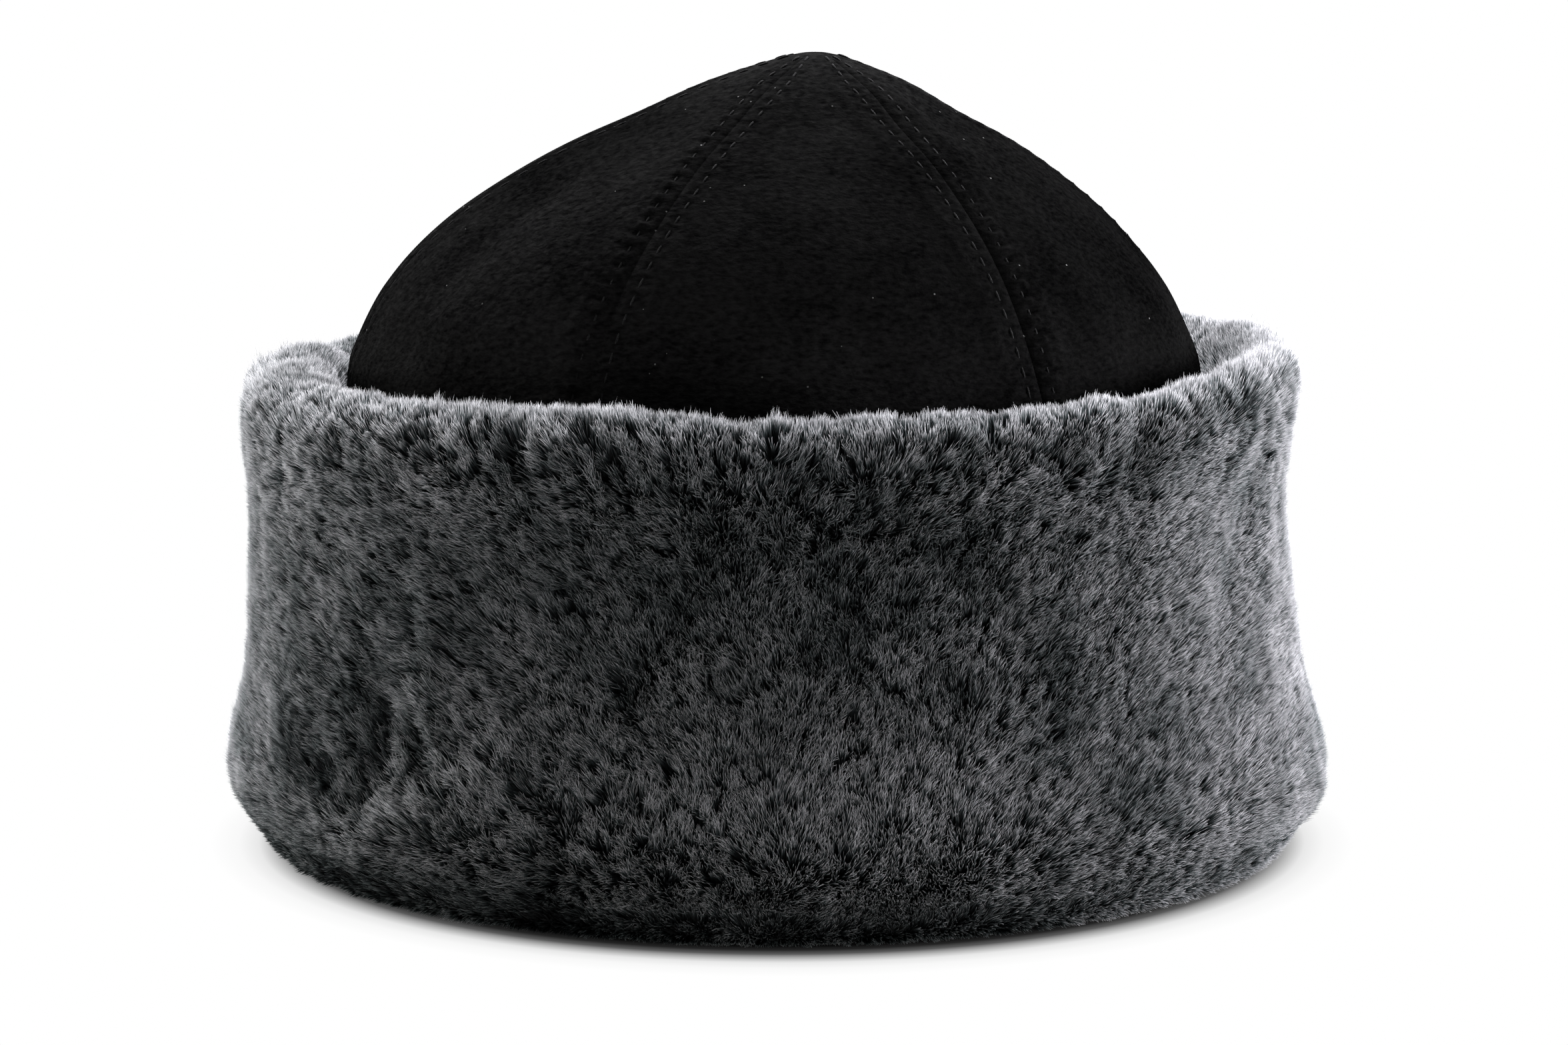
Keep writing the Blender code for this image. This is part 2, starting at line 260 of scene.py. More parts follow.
# How much of a lump or hollow is in the skin and in the pile, and the deepest cut into the pile
SKIN_SHARE = 0.4
PILE_SHARE = 0.5
DEEPEST_CUT = 0.4
# How strands stand: outwards and combed, and how that shifts at the foot
STANDING_SHARE = 0.80
COMBED_SHARE = 0.58
FOOT_SHIFT = 0.28
PARTING_PULL = 1.4
SLOPE_STEP = 0.5 * MM
# Combed sideways: azimuth of the middle, half width and lean in degrees, and the heights in
# millimetres where it begins and is full. Below the foot means everywhere.
COMBING = (
    (-38.0, 34.0, -26.0, -2.0, -1.0),
    (45.0, 25.0, -14.0, 60.0, 95.0),
    (40.0, 30.0, 12.0, 70.0, 20.0),
)
# How far swirls turn the strands, in degrees
SWIRL = 44.0
# Uneven growth: swirls, ripples and patches in a metre, where each begins, and their shares
SWIRLS = 75.0
RIPPLES = 140.0
PATCHES = 95.0
RIPPLE_PLACE = (7, 0, 0)
PATCH_PLACE = (0, 9, 0)
RIPPLE_SHARE = 0.07
PATCHINESS = 0.75
# Painted shade in the hollows: how dark, and the depth at which it is full
HOLLOW_PAINTED_SHADE = 0.5
HOLLOW_DEPTH = 2 * MM
# How much the fleece breaks up into tufts: everywhere, at least and at most
TUFTED_EVERYWHERE = 0.8
LEAST_TUFTED = 0.3
MOST_TUFTED = 1.5

# Strands, one triangle each and much wider than real wool, because a piece has to stay under
# 200,000 triangles
STRANDS_PER_MM2 = 9.0
MOST_STRANDS = 193000
STRAND_WIDTH = 0.55 * MM
TUFT_SIZE = 2.0 * MM
TUFT_PULL = 0.42
TUFT_LEAN = 0.50
LOCK_SIZE = 5.5 * MM
LOCK_PULL = 0.18
STRAYING = 0.24
STRAY_SEED = 11
LEAST_RISE = 0.68
FLOOR_GAP = 0.2 * MM
# Thin places: how far apart, how they stretch, and the noise where they begin and are full
GAP_SPACING = 3.2 * MM
GAP_STRETCH = (1.0, 1.0, 0.7)
GAP_BEGIN = 0.46
GAP_FULL = 0.33
# What differs at random from strand to strand: lowest, highest, seed
SCATTER = (
    ("length", 0.90, 1.03, 5),
    ("spin", -1.2, 1.2, 21),
    ("width", 0.75, 1.25, 31),
    ("tone", 0.0, 0.45, 41),
)
# Length by tuft, lock and gap: the share of each, and what it is added to
TUFT_LENGTH = (0.10, 0.93)
LOCK_LENGTH = (0.08, 0.95)
GAP_LENGTH = (-0.14, 1.0)
# Tone from 0, dark, to 1, pale: the middle, and what tuft, patch and gap add; the gap's is painted
# shade
TONE_MIDDLE = 0.345
TUFT_TONE = 0.40
PATCH_TONE = 0.42
GAP_PAINTED_SHADE = -0.22
TONE_LIMITS = (0.01, 0.99)
# The strands' UV map: how much of it a strand is wide and long, and where its root is
UV_STRAND_WIDTH = 0.004
UV_STRAND_LENGTH = 0.98
UV_ROOT = 0.01
# What the pelt tells its strands, and a strand each of its points
PELT_FIELDS = (
    ("lying", "FLOAT_VECTOR"),
    ("outward", "FLOAT_VECTOR"),
    ("pile", "FLOAT"),
    ("patch", "FLOAT"),
    ("tufted", "FLOAT"),
)
STRAND_FIELDS = (("tone", "FLOAT"), ("along", "FLOAT"), ("side", "FLOAT"))
# The four pieces of fleece and the azimuths of their middles
QUARTERS = (("fleece_front", 0), ("fleece_left", 90), ("fleece_back", 180), ("fleece_right", 270))
# Partings, hollows and lumps: azimuth (deg) and height (mm) of both ends, half width, rise (mm)
FUR_FORMS = (
    (-4.1, 109.0, -4.4, 98.0, 3.0, -0.7),
    (43.0, 99.0, 41.0, 88.0, 4.0, -1.0),
    (-44.0, 37.0, -44.0, 29.0, 2.5, -1.9),
    (-45.0, 26.0, -46.0, 20.0, 3.0, -1.7),
    (-41.0, 108.0, -17.0, 108.0, 6.0, 2.2),
    (-3.0, 108.0, 10.0, 108.0, 5.0, 1.5),
    (39.0, 108.0, 45.0, 108.0, 4.0, 1.2),
    (108.0, 108.0, 150.0, 109.0, 7.0, 1.2),
    (64.0, 108.0, 104.0, 106.0, 5.0, 1.6),
    (-39.0, 37.0, -37.5, 31.0, 2.5, -2.4),
    (-44.0, 16.0, -31.0, 27.0, 6.5, 1.9),
    (-57.0, 37.0, -62.0, 34.0, 5.0, 1.6),
    (-60.0, 23.0, -59.0, 19.0, 4.0, 1.4),
    (-37.0, 68.0, -37.0, 36.0, 3.5, 1.2),
    (-24.5, 30.0, -20.5, 23.0, 3.0, -2.6),
    (-27.0, 36.0, -29.0, 26.0, 4.0, 0.9),
    (-14.5, 52.0, -14.0, 47.0, 3.0, -2.0),
    (-10.0, 62.0, -13.5, 54.0, 3.0, -1.4),
    (-22.0, 13.0, -24.0, 8.0, 5.0, -1.6),
    (24.0, 66.0, 31.0, 44.0, 6.0, -0.3),
    (66.0, 84.0, 58.0, 58.0, 6.0, -1.0),
    (-39.0, 97.0, -37.0, 93.0, 2.5, -1.8),
    (-27.5, 98.0, -26.0, 93.0, 2.5, -2.0),
    (-16.5, 96.0, -15.5, 90.0, 2.5, -2.0),
    (-19.5, 102.0, -18.5, 98.0, 2.0, -1.6),
    (-23.0, 100.0, -21.0, 94.0, 2.5, 1.2),
    (-52.0, 94.0, -50.0, 90.0, 2.5, -1.4),
    (31.0, 96.0, 32.0, 88.0, 2.5, -1.6),
    (38.0, 92.0, 36.0, 86.0, 2.5, -1.4),
    (9.0, 84.0, 12.0, 80.0, 3.0, -1.3),
    (-54.0, 27.0, -48.0, 20.0, 4.0, -1.6),
    (112.0, 90.0, 120.0, 52.0, 6.0, -1.6),
    (175.0, 108.0, 176.0, 92.0, 4.0, -2.0),
    (-150.0, 60.0, -140.0, 34.0, 7.0, 1.5),
    (-165.0, 30.0, -158.0, 22.0, 4.0, -1.8),
    (150.0, 44.0, 144.0, 30.0, 4.0, -1.8),
    (-98.0, 86.0, -92.0, 60.0, 6.0, -1.3),
    (-100.0, 97.0, -74.0, 97.0, 6.0, 2.4),
    (80.0, 99.0, 98.0, 99.0, 6.0, 1.2),
    (-146.0, 110.0, -108.0, 108.0, 7.0, -3.0),
    (52.0, 108.0, 76.0, 107.0, 6.0, 1.5),
    (52.0, 10.0, 78.0, 13.0, 7.0, 1.4),
)
# Paler and darker parts, some painted shade: azimuth and height of both ends, half width, change of
# tone
FUR_TONES_AND_PAINTED_SHADE = (
    (-26.0, 26.0, 16.0, 24.0, 20.0, 1.10),
    (-38.0, 72.0, 10.0, 72.0, 26.0, -0.50),
    (-58.0, 30.0, -48.0, 34.0, 11.0, -0.60),
    # Painted shade where the foot meets the floor
    (-75.0, 0.0, -25.0, 0.0, 8.5, -1.15),
    (-25.0, 0.0, 30.0, 0.0, 6.5, -1.20),
    (74.0, 14.0, 98.0, 18.0, 12.0, -0.50),
    (48.0, 28.0, 60.0, 26.0, 9.0, 0.30),
    (-150.0, 108.0, -120.0, 108.0, 9.0, -0.60),
    (-112.0, 107.0, -72.0, 108.0, 7.0, -0.75),
    (64.0, 107.0, 104.0, 106.0, 7.0, -0.55),
    (-30.0, 16.0, -52.0, 18.0, 7.0, 0.30),
    (-58.0, 84.0, -34.0, 84.0, 12.0, 0.45),
    (-76.0, 60.0, -48.0, 58.0, 14.0, -0.25),
    (48.0, 60.0, 66.0, 50.0, 16.0, 0.25),
    (22.0, 34.0, 44.0, 34.0, 14.0, -0.35),
    (-10.0, 5.0, 72.0, 7.0, 9.0, 0.25),
    (-45.0, 108.0, -18.0, 108.0, 5.0, 0.5),
    (140.0, 60.0, 200.0, 70.0, 26.0, -0.35),
    (-130.0, 24.0, -100.0, 20.0, 18.0, 0.4),
    (-84.0, 26.0, -58.0, 22.0, 12.0, -0.20),
    (-76.0, 105.0, -64.0, 96.0, 3.5, -0.30),
    (54.0, 107.0, 62.0, 98.0, 5.0, -0.60),
    (-34.0, 88.0, -14.0, 88.0, 10.0, 0.25),
    (-86.0, 86.0, -66.0, 84.0, 12.0, 0.15),
)
# Where the fleece breaks up more or less into tufts: as above, change of the share
FUR_TUFTING = (
    (-60.0, 96.0, 0.0, 95.0, 9.0, 0.70),
    (0.0, 95.0, 60.0, 95.0, 9.0, 0.35),
    (-58.0, 28.0, -10.0, 24.0, 17.0, 0.60),
    (46.0, 92.0, 60.0, 30.0, 24.0, -0.40),
    (-66.0, 72.0, -44.0, 50.0, 22.0, 0.30),
    (-18.0, 64.0, 24.0, 52.0, 28.0, 0.05),
    (150.0, 50.0, 215.0, 70.0, 30.0, 0.20),
    (-88.0, 88.0, -64.0, 86.0, 15.0, 0.50),
    (64.0, 88.0, 90.0, 88.0, 15.0, 0.50),
)


def linear(hex_colour):
    """An sRGB hex colour as linear red, green, blue and alpha."""
    parts = [int(hex_colour[i : i + 2], 16) / 255 for i in (1, 3, 5)]
    return (*[c / 12.92 if c <= 0.04045 else ((c + 0.055) / 1.055) ** 2.4 for c in parts], 1.0)


def fill_inputs(tree, node, inputs):
    """Fills or links inputs, by name or by place. A node as a value gives its first output."""
    for key, value in inputs.items():
        source = value.outputs[0] if isinstance(value, bpy.types.Node) else value
        if isinstance(source, bpy.types.NodeSocket):
            tree.links.new(source, node.inputs[key])
        else:
            node.inputs[key].default_value = source


def add_node(tree, kind, inputs=None, **settings):
    """Adds a node with its settings, and fills or links its inputs."""
    node = tree.nodes.new(kind)
    for name, value in settings.items():
        setattr(node, name, value)
    fill_inputs(tree, node, inputs or {})
    return node


def fill_ramp(node, *stops):
    """Gives a new colour ramp its stops, as positions and hex colours."""
    ramp = node.color_ramp
    for element, (position, colour) in zip(ramp.elements, (stops[0], stops[-1])):
        element.position = position
        element.color = linear(colour)
    for position, colour in stops[1:-1]:
        ramp.elements.new(position).color = linear(colour)


def smoothstep(value, begin, full):
    """0 up to where it begins, 1 from where it is full, and a smooth rise between them."""
    share = np.clip((np.asarray(value) - begin) / (full - begin), 0.0, 1.0)
    return share * share * (3 - 2 * share)


def bell(away, half_width):
    """1 in the middle, and less and less to both sides."""
    return np.exp(-((away / half_width) ** 2))


def unit(vectors):
    """The vectors at a length of 1."""
    return vectors / np.linalg.norm(vectors, axis=-1)[..., None]


def turn_between(azimuth, middle):
    """How far an azimuth lies from another one, from -180 to 180 degrees."""
    return (azimuth - middle + 180) % 360 - 180


def piece_from(mesh, name, finish=None):
    """Adds a mesh to the scene as an object at the origin."""
    piece = bpy.data.objects.new(name, mesh)
    bpy.context.scene.collection.objects.link(piece)
    if finish is not None:
        mesh.materials.clear()
        mesh.materials.append(finish)
    return piece


def apply_modifiers(piece):
    """Turns the piece's evaluated shape into a plain mesh, without its modifiers."""
    depsgraph = bpy.context.evaluated_depsgraph_get()
    mesh = bpy.data.meshes.new_from_object(piece.evaluated_get(depsgraph), depsgraph=depsgraph)
    old = piece.data
    piece.modifiers.clear()
    piece.data = mesh
    bpy.data.meshes.remove(old)
    mesh.name = piece.name


def new_tree(name, sockets):
    """A geometry node tree with named sockets, and its inputs as its nodes read them."""
    tree = bpy.data.node_groups.new(name, "GeometryNodeTree")
    for label, kind, way in sockets:
        tree.interface.new_socket(label, in_out=way, socket_type=f"NodeSocket{kind}")
    return tree, add_node(tree, "NodeGroupInput").outputs


def grow(piece, tree, inputs):
    """Runs a tree on a piece. The modifier keeps its inputs by their sockets' identifiers."""
    modifier = piece.modifiers.new(tree.name, "NODES")
    modifier.node_group = tree
    for item in tree.interface.items_tree:
        if item.item_type == "SOCKET" and item.in_out == "INPUT" and item.name in inputs:
            modifier[item.identifier] = inputs[item.name]
    apply_modifiers(piece)


# Studio


def build_studio():
    """The photograph's camera, a paper floor in a white world, and five softboxes."""
    scene = bpy.context.scene
    scene.view_settings.view_transform = "Standard"
    data = bpy.data.cameras.new("camera")
    data.lens = CAMERA_LENS
    data.sensor_width = CAMERA_SENSOR
    data.clip_start = CAMERA_NEAR
    camera = bpy.data.objects.new("camera", data)
    camera.location = CAMERA_PLACE
    camera.rotation_euler = (math.pi / 2 - CAMERA_PITCH, 0, 0)
    scene.collection.objects.link(camera)
    scene.camera = camera

    mesh = bpy.data.meshes.new("studio_floor")
    shape = bmesh.new()
    bmesh.ops.create_circle(shape, cap_ends=True, segments=FLOOR_SIDES, radius=FLOOR_RADIUS)
    shape.to_mesh(mesh)
    shape.free()
    floor = piece_from(mesh, "studio_floor", paper_finish())

    world = bpy.data.worlds.new("studio")
    world.use_nodes = True
    tree = world.node_tree
    tree.nodes.clear()
    seen = add_node(tree, "ShaderNodeBackground", {"Color": linear("#ffffff"), "Strength": 1.0})
    fill = add_node(
        tree, "ShaderNodeBackground", {"Color": linear("#eef1f6"), "Strength": FILL_STRENGTH}
    )
    path = add_node(tree, "ShaderNodeLightPath")
    mix = add_node(
        tree, "ShaderNodeMixShader", {0: path.outputs["Is Camera Ray"], 1: fill, 2: seen}
    )
    add_node(tree, "ShaderNodeOutputWorld", {"Surface": mix})
    scene.world = world

    for name, place, width, depth, power, tint in SOFTBOXES:
        data = bpy.data.lights.new(name, "AREA")
        data.shape = "ELLIPSE"
        data.size = width
        data.size_y = depth
        data.energy = power
        data.color = linear(tint)[:3]
        light = bpy.data.objects.new(name, data)
        light.location = place
        aim = Vector(LIGHTS_AIM) - Vector(place)
        light.rotation_euler = aim.to_track_quat("-Z", "Y").to_euler()
        light.visible_camera = False
        scene.collection.objects.link(light)


# Finishes


def new_finish(name):
    """A material, its tree and its surface shader."""
    finish = bpy.data.materials.new(name)
    finish.use_nodes = True
    return finish, finish.node_tree, finish.node_tree.nodes["Principled BSDF"]


def paper_finish():
    """White paper lit from all round: burnt out to the camera, with a painted contact shadow only
    round the foot.
    """
    finish, tree, surface = new_finish("matt white paper")
    place = add_node(tree, "ShaderNodeTexCoord").outputs["Object"]
    fill_inputs(
        tree,
        surface,
        {
            "Base Color": linear("#dedede"),
            "Roughness": 0.9,
            "Emission Color": linear("#ffffff"),
            "Emission Strength": FLOOR_GLOW,
        },
    )
    # The painted shadow is a little narrower than it is deep
    centred = add_node(
        tree, "ShaderNodeVectorMath", {0: place, 1: SHADOW_MIDDLE}, operation="SUBTRACT"
    )
    narrowed = add_node(
        tree, "ShaderNodeVectorMath", {0: centred, 1: SHADOW_NARROWING}, operation="MULTIPLY"
    )
    from_hat = add_node(tree, "ShaderNodeVectorMath", {0: narrowed}, operation="LENGTH")
    share = add_node(
        tree,
        "ShaderNodeMapRange",
        {0: from_hat.outputs["Value"], 1: SHADOW_FROM, 2: SHADOW_TO},
    )
    painted_shadow_ring = add_node(tree, "ShaderNodeValToRGB", {"Fac": share})
    fill_ramp(
        painted_shadow_ring,
        (0.10, "#080808"),
        (0.18, "#242424"),
        (0.26, "#5a5a5a"),
        (0.34, "#b0b0b0"),
        (0.43, "#e8e8e8"),
        (0.54, "#f8f8f8"),
        (0.70, "#ffffff"),
    )
    seen = add_node(tree, "ShaderNodeEmission", {"Color": painted_shadow_ring})
    path = add_node(tree, "ShaderNodeLightPath")
    both = add_node(
        tree, "ShaderNodeMixShader", {0: path.outputs["Is Camera Ray"], 1: surface, 2: seen}
    )
    fill_inputs(tree, tree.nodes["Material Output"], {"Surface": both})
    return finish


def suede_finish():
    """Black suede, split and buffed: its nap drinks light and is brushed in flecks, with lint, and
    painted light and shade.
    """
    finish, tree, surface = new_finish("black suede, buffed nap")
    place = add_node(tree, "ShaderNodeTexCoord").outputs["Object"]
    lying = add_node(tree, "ShaderNodeMapping", {"Vector": place, "Scale": FLECK_STRETCH})
    fleck = add_node(
        tree,
        "ShaderNodeTexNoise",
        {"Vector": lying, "Scale": NAP_FLECKS, "Detail": 3.0, "Roughness": 0.6},
    )
    # Patches that a hand has brushed one way
    brushed = add_node(
        tree, "ShaderNodeTexNoise", {"Vector": place, "Scale": BRUSHED_PATCHES, "Detail": 4.0}
    )
    patches = add_node(
        tree,
        "ShaderNodeMath",
        {0: brushed, 1: PATCH_SHARE, 2: NAP_OFFSET},
        operation="MULTIPLY_ADD",
    )
    nap = add_node(
        tree, "ShaderNodeMath", {0: fleck, 1: FLECK_SHARE, 2: patches}, operation="MULTIPLY_ADD"
    )
    napped = add_node(tree, "ShaderNodeValToRGB", {"Fac": nap})
    fill_ramp(napped, (0.38, "#0a0a0a"), (0.66, "#222221"))
    # Painted shade: darker towards +X, against the light from the right, and lighter to the left
    parts = add_node(tree, "ShaderNodeSeparateXYZ", {0: place}).outputs
    across = add_node(tree, "ShaderNodeMapRange", {0: parts["X"], 1: PAINTED_SHADE_FROM_X, 2: PAINTED_SHADE_TO_X})
    painted_side_shade = add_node(tree, "ShaderNodeValToRGB", {"Fac": across})
    fill_ramp(
        painted_side_shade,
        (0.0, "#acacac"),
        (0.19, "#dedede"),
        (0.38, "#d6d6d6"),
        (0.50, "#d4d4d4"),
        (0.58, "#d6d6d6"),
        (0.75, "#a8a8a8"),
        (1.0, "#727272"),
    )
    # High on the left a patch of painted shade darkens the nap
    apart = add_node(
        tree, "ShaderNodeVectorMath", {0: place, 1: PAINTED_SHADE_MIDDLE}, operation="DISTANCE"
    )
    patch = add_node(
        tree,
        "ShaderNodeMapRange",
        {
            0: apart.outputs["Value"],
            1: PAINTED_SHADE_FULL,
            2: PAINTED_SHADE_END,
            3: PAINTED_SHADE_TONE,
            4: 1.0,
        },
        interpolation_type="SMOOTHSTEP",
    )
    # Painted light and shade: paler next to the cuff, where the cuff shades it, darker over the top
    up = add_node(tree, "ShaderNodeMapRange", {0: parts["Z"], 1: PAINTED_SHADING_BOTTOM, 2: PAINTED_SHADING_TOP})
    painted_height_shading = add_node(tree, "ShaderNodeValToRGB", {"Fac": up})
    fill_ramp(
        painted_height_shading,
        (0.0, "#f9f9f9"),
        (0.08, "#e7e7e7"),
        (0.18, "#cfcfcf"),
        (0.30, "#bcbcbc"),
        (0.50, "#b1b1b1"),
        (0.70, "#a4a4a4"),
        (0.82, "#a2a2a2"),
        (0.97, "#bababa"),
    )
    raised = add_node(tree, "ShaderNodeMath", {0: patch, 1: NAP_GAIN}, operation="MULTIPLY")
    depth = add_node(tree, "ShaderNodeMath", {0: painted_height_shading, 1: raised}, operation="MULTIPLY")
    shade = add_node(
        tree, "ShaderNodeVectorMath", {0: painted_side_shade, "Scale": depth}, operation="SCALE"
    )
    shaded = add_node(tree, "ShaderNodeVectorMath", {0: napped, 1: shade}, operation="MULTIPLY")
    specks = add_node(
        tree, "ShaderNodeTexVoronoi", {"Vector": place, "Scale": LINT_CELLS}, feature="F1"
    ).outputs
    small = add_node(
        tree, "ShaderNodeMath", {0: specks["Distance"], 1: LINT_SIZE}, operation="LESS_THAN"
    )
    few = add_node(
        tree, "ShaderNodeMath", {0: specks["Color"], 1: LINT_RARITY}, operation="GREATER_THAN"
    )
    lint = add_node(tree, "ShaderNodeMath", {0: small, 1: few}, operation="MULTIPLY")
    colour = add_node(
        tree, "ShaderNodeMix", {0: lint, 6: shaded, 7: linear("#5c5c5a")}, data_type="RGBA"
    )
    # Rumples, strongest to the left of the front left seam
    rumple = add_node(
        tree, "ShaderNodeTexNoise", {"Vector": place, "Scale": RUMPLES, "Detail": 3.0}
    )
    leftward = add_node(
        tree,
        "ShaderNodeMapRange",
        {0: parts["X"], 1: RUMPLED_TO, 2: SMOOTH_FROM, 3: RUMPLED_SHARE, 4: SMOOTH_SHARE},
    )
    height = add_node(
        tree, "ShaderNodeMath", {0: rumple, 1: leftward, 2: fleck}, operation="MULTIPLY_ADD"
    )
    bump = add_node(
        tree,
        "ShaderNodeBump",
        {"Strength": NAP_BUMP_STRENGTH, "Distance": NAP_BUMP_HEIGHT, "Height": height},
    )
    fill_inputs(
        tree,
        surface,
        {
            "Base Color": colour.outputs[2],
            "Normal": bump,
            "Roughness": 0.95,
            "Specular IOR Level": 0.0,
        },
    )
    return finish


def thread_finish():
    """Black polyester thread, twisted: a little paler than the suede round it, with no shine."""
    finish, tree, surface = new_finish("black polyester thread, twisted")
    place = add_node(tree, "ShaderNodeTexCoord").outputs["Object"]
    twist = add_node(
        tree, "ShaderNodeTexNoise", {"Vector": place, "Scale": THREAD_TWISTS, "Detail": 2.0}
    )
    ramp = add_node(tree, "ShaderNodeValToRGB", {"Fac": twist})
    fill_ramp(ramp, (0.35, "#1e1e1e"), (0.7, "#333332"))
    fill_inputs(
        tree, surface, {"Base Color": ramp, "Roughness": 0.8, "Specular IOR Level": 0.0}
    )
    return finish


def pelt_finish():
    """Dyed sheepskin underwool: nearly black, seen only in the gaps between the tufts."""
    finish, tree, surface = new_finish("dyed sheepskin, underwool")
    place = add_node(tree, "ShaderNodeTexCoord").outputs["Object"]
    wool = add_node(
        tree, "ShaderNodeTexNoise", {"Vector": place, "Scale": UNDERWOOL_LOCKS, "Detail": 3.0}
    )
    ramp = add_node(tree, "ShaderNodeValToRGB", {"Fac": wool})
    fill_ramp(ramp, (0.3, "#101214"), (0.7, "#26292c"))
    fill_inputs(tree, surface, {"Base Color": ramp, "Roughness": 0.95})
    return finish


def fleece_finish():
    """Sheared sheepskin, dyed dark and tip-bleached: slate roots that end in lilac-grey tips."""
    finish, tree, surface = new_finish("sheared sheepskin, pale tips")
    strand = add_node(tree, "ShaderNodeUVMap", uv_map="OFBake")
    parts = add_node(tree, "ShaderNodeSeparateXYZ", {0: strand}).outputs
    along = add_node(tree, "ShaderNodeValToRGB", {"Fac": parts["Y"]})
    fill_ramp(
        along,
        (0.0, "#0c0f0f"),
        (0.45, "#202525"),
        (0.66, "#4c5454"),
        (0.82, "#939494"),
        (1.0, "#e7e7e7"),
    )
    tones = add_node(tree, "ShaderNodeValToRGB", {"Fac": parts["X"]})
    fill_ramp(
        tones,
        (0.0, "#2c3032"),
        (0.12, "#6a7271"),
        (0.25, "#949b9a"),
        (0.5, "#c2c3c3"),
        (0.75, "#e0e0e0"),
        (1.0, "#ffffff"),
    )
    tint = add_node(
        tree,
        "ShaderNodeMix",
        {0: 1.0, 6: along, 7: tones},
        data_type="RGBA",
        blend_type="MULTIPLY",
    ).outputs[2]
    fill_inputs(tree, surface, {"Base Color": tint, "Roughness": 0.6, "Specular IOR Level": 0.3})
    # Light from behind comes through the thin pale tips
    through = add_node(tree, "ShaderNodeBsdfTranslucent", {"Color": tint})
    both = add_node(
        tree, "ShaderNodeMixShader", {0: SHINING_THROUGH, 1: surface, 2: through}
    )
    fill_inputs(tree, tree.nodes["Material Output"], {"Surface": both})
    return finish


# Crown


class SmoothLine:
    """A smooth line through points (radius, height), read by its length from the first point."""

    def __init__(self, points):
        self.points = np.array(points, float)
        steps = np.linalg.norm(np.diff(self.points, axis=0), axis=1)
        self.marks = np.concatenate([[0.0], np.cumsum(steps)])
        self.length = float(self.marks[-1])
        runs = np.diff(self.points, axis=0) / steps[:, None]
        before, after = runs[:-1], runs[1:]
        product = np.maximum(before * after, 0.0)
        total = before + after
        means = np.divide(2 * product, total, out=np.zeros_like(total), where=product > 0)
        self.slopes = np.vstack([runs[:1], means, runs[-1:]])

    def at(self, distance):
        """Radius and height at a length along the line."""
        distance = np.asarray(distance, float)
        span = np.searchsorted(self.marks, distance, side="right") - 1
        span = np.clip(span, 0, len(self.points) - 2)
        start = self.marks[span]
        size = (self.marks[span + 1] - start)[..., None]
        t = (distance - start)[..., None] / size
        return (
            (2 * t**3 - 3 * t**2 + 1) * self.points[span]
            + (t**3 - 2 * t**2 + t) * size * self.slopes[span]
            + (3 * t**2 - 2 * t**3) * self.points[span + 1]
            + (t**3 - t**2) * size * self.slopes[span + 1]
        )

    def outward(self, distance):
        """The way off the crown, as radius and height."""
        before = self.at(np.maximum(distance - NORMAL_STEP, 0.0))
        after = self.at(np.minimum(distance + NORMAL_STEP, self.length))
        run = after - before
        return unit(np.stack([-run[..., 1], run[..., 0]], -1))


def crown_line():
    """The crown's outline, from the peak down to the wall's foot inside the cuff."""
    shown = [(radius * MM, height * MM) for radius, height in CROWN_OUTLINE]
    wall = [(CROWN_WALL_RADIUS, height) for height in (WALL_TOP_HEIGHT, CROWN_FOOT_HEIGHT)]
    return SmoothLine([(SEAM_TIP_RADIUS, PEAK_HEIGHT), *shown, *wall])


def forms_at(forms, azimuth, height, radius):
    """The sum of soft forms on a round surface, each along a line and fading to its sides."""
    total = np.zeros(np.broadcast(azimuth, height, radius).shape)
    for azimuth_a, height_a, azimuth_b, height_b, half_width, rise in forms:
        across = np.radians(turn_between(azimuth, azimuth_a)) * radius
        up = height - height_a * MM
        run_across = math.radians(azimuth_b - azimuth_a) * radius
        run_up = (height_b - height_a) * MM
        share = (across * run_across + up * run_up) / (run_across**2 + run_up**2)
        share = np.clip(share, 0.0, 1.0)
        away = np.hypot(across - run_across * share, up - run_up * share)
        total += rise * bell(away, half_width * MM)
    return total


def stitch_pull(from_edge, distance, scale, strength):
    """Dents at the needle holes of a row, and small beads of suede between them."""
    turn = np.cos(2 * np.pi * (distance - STITCH_START) / STITCH_PITCH)
    from_row = from_edge - STITCH_ROW
    dents = bell(from_row, PUCKER_HALF_WIDTH) * (PUCKER_EVEN + PUCKER_WAVE * turn)
    bead = bell(from_row - BEAD_OUTSIDE, BEAD_HALF_WIDTH)
    bead = bead + INNER_BEAD_SHARE * bell(from_row + INNER_BEAD_INSIDE, INNER_BEAD_HALF_WIDTH)
    beads = strength * bead * (BEAD_EVEN + BEAD_WAVE * turn)
    return (BEAD_RISE * beads - PUCKER_DEPTH * dents) * scale


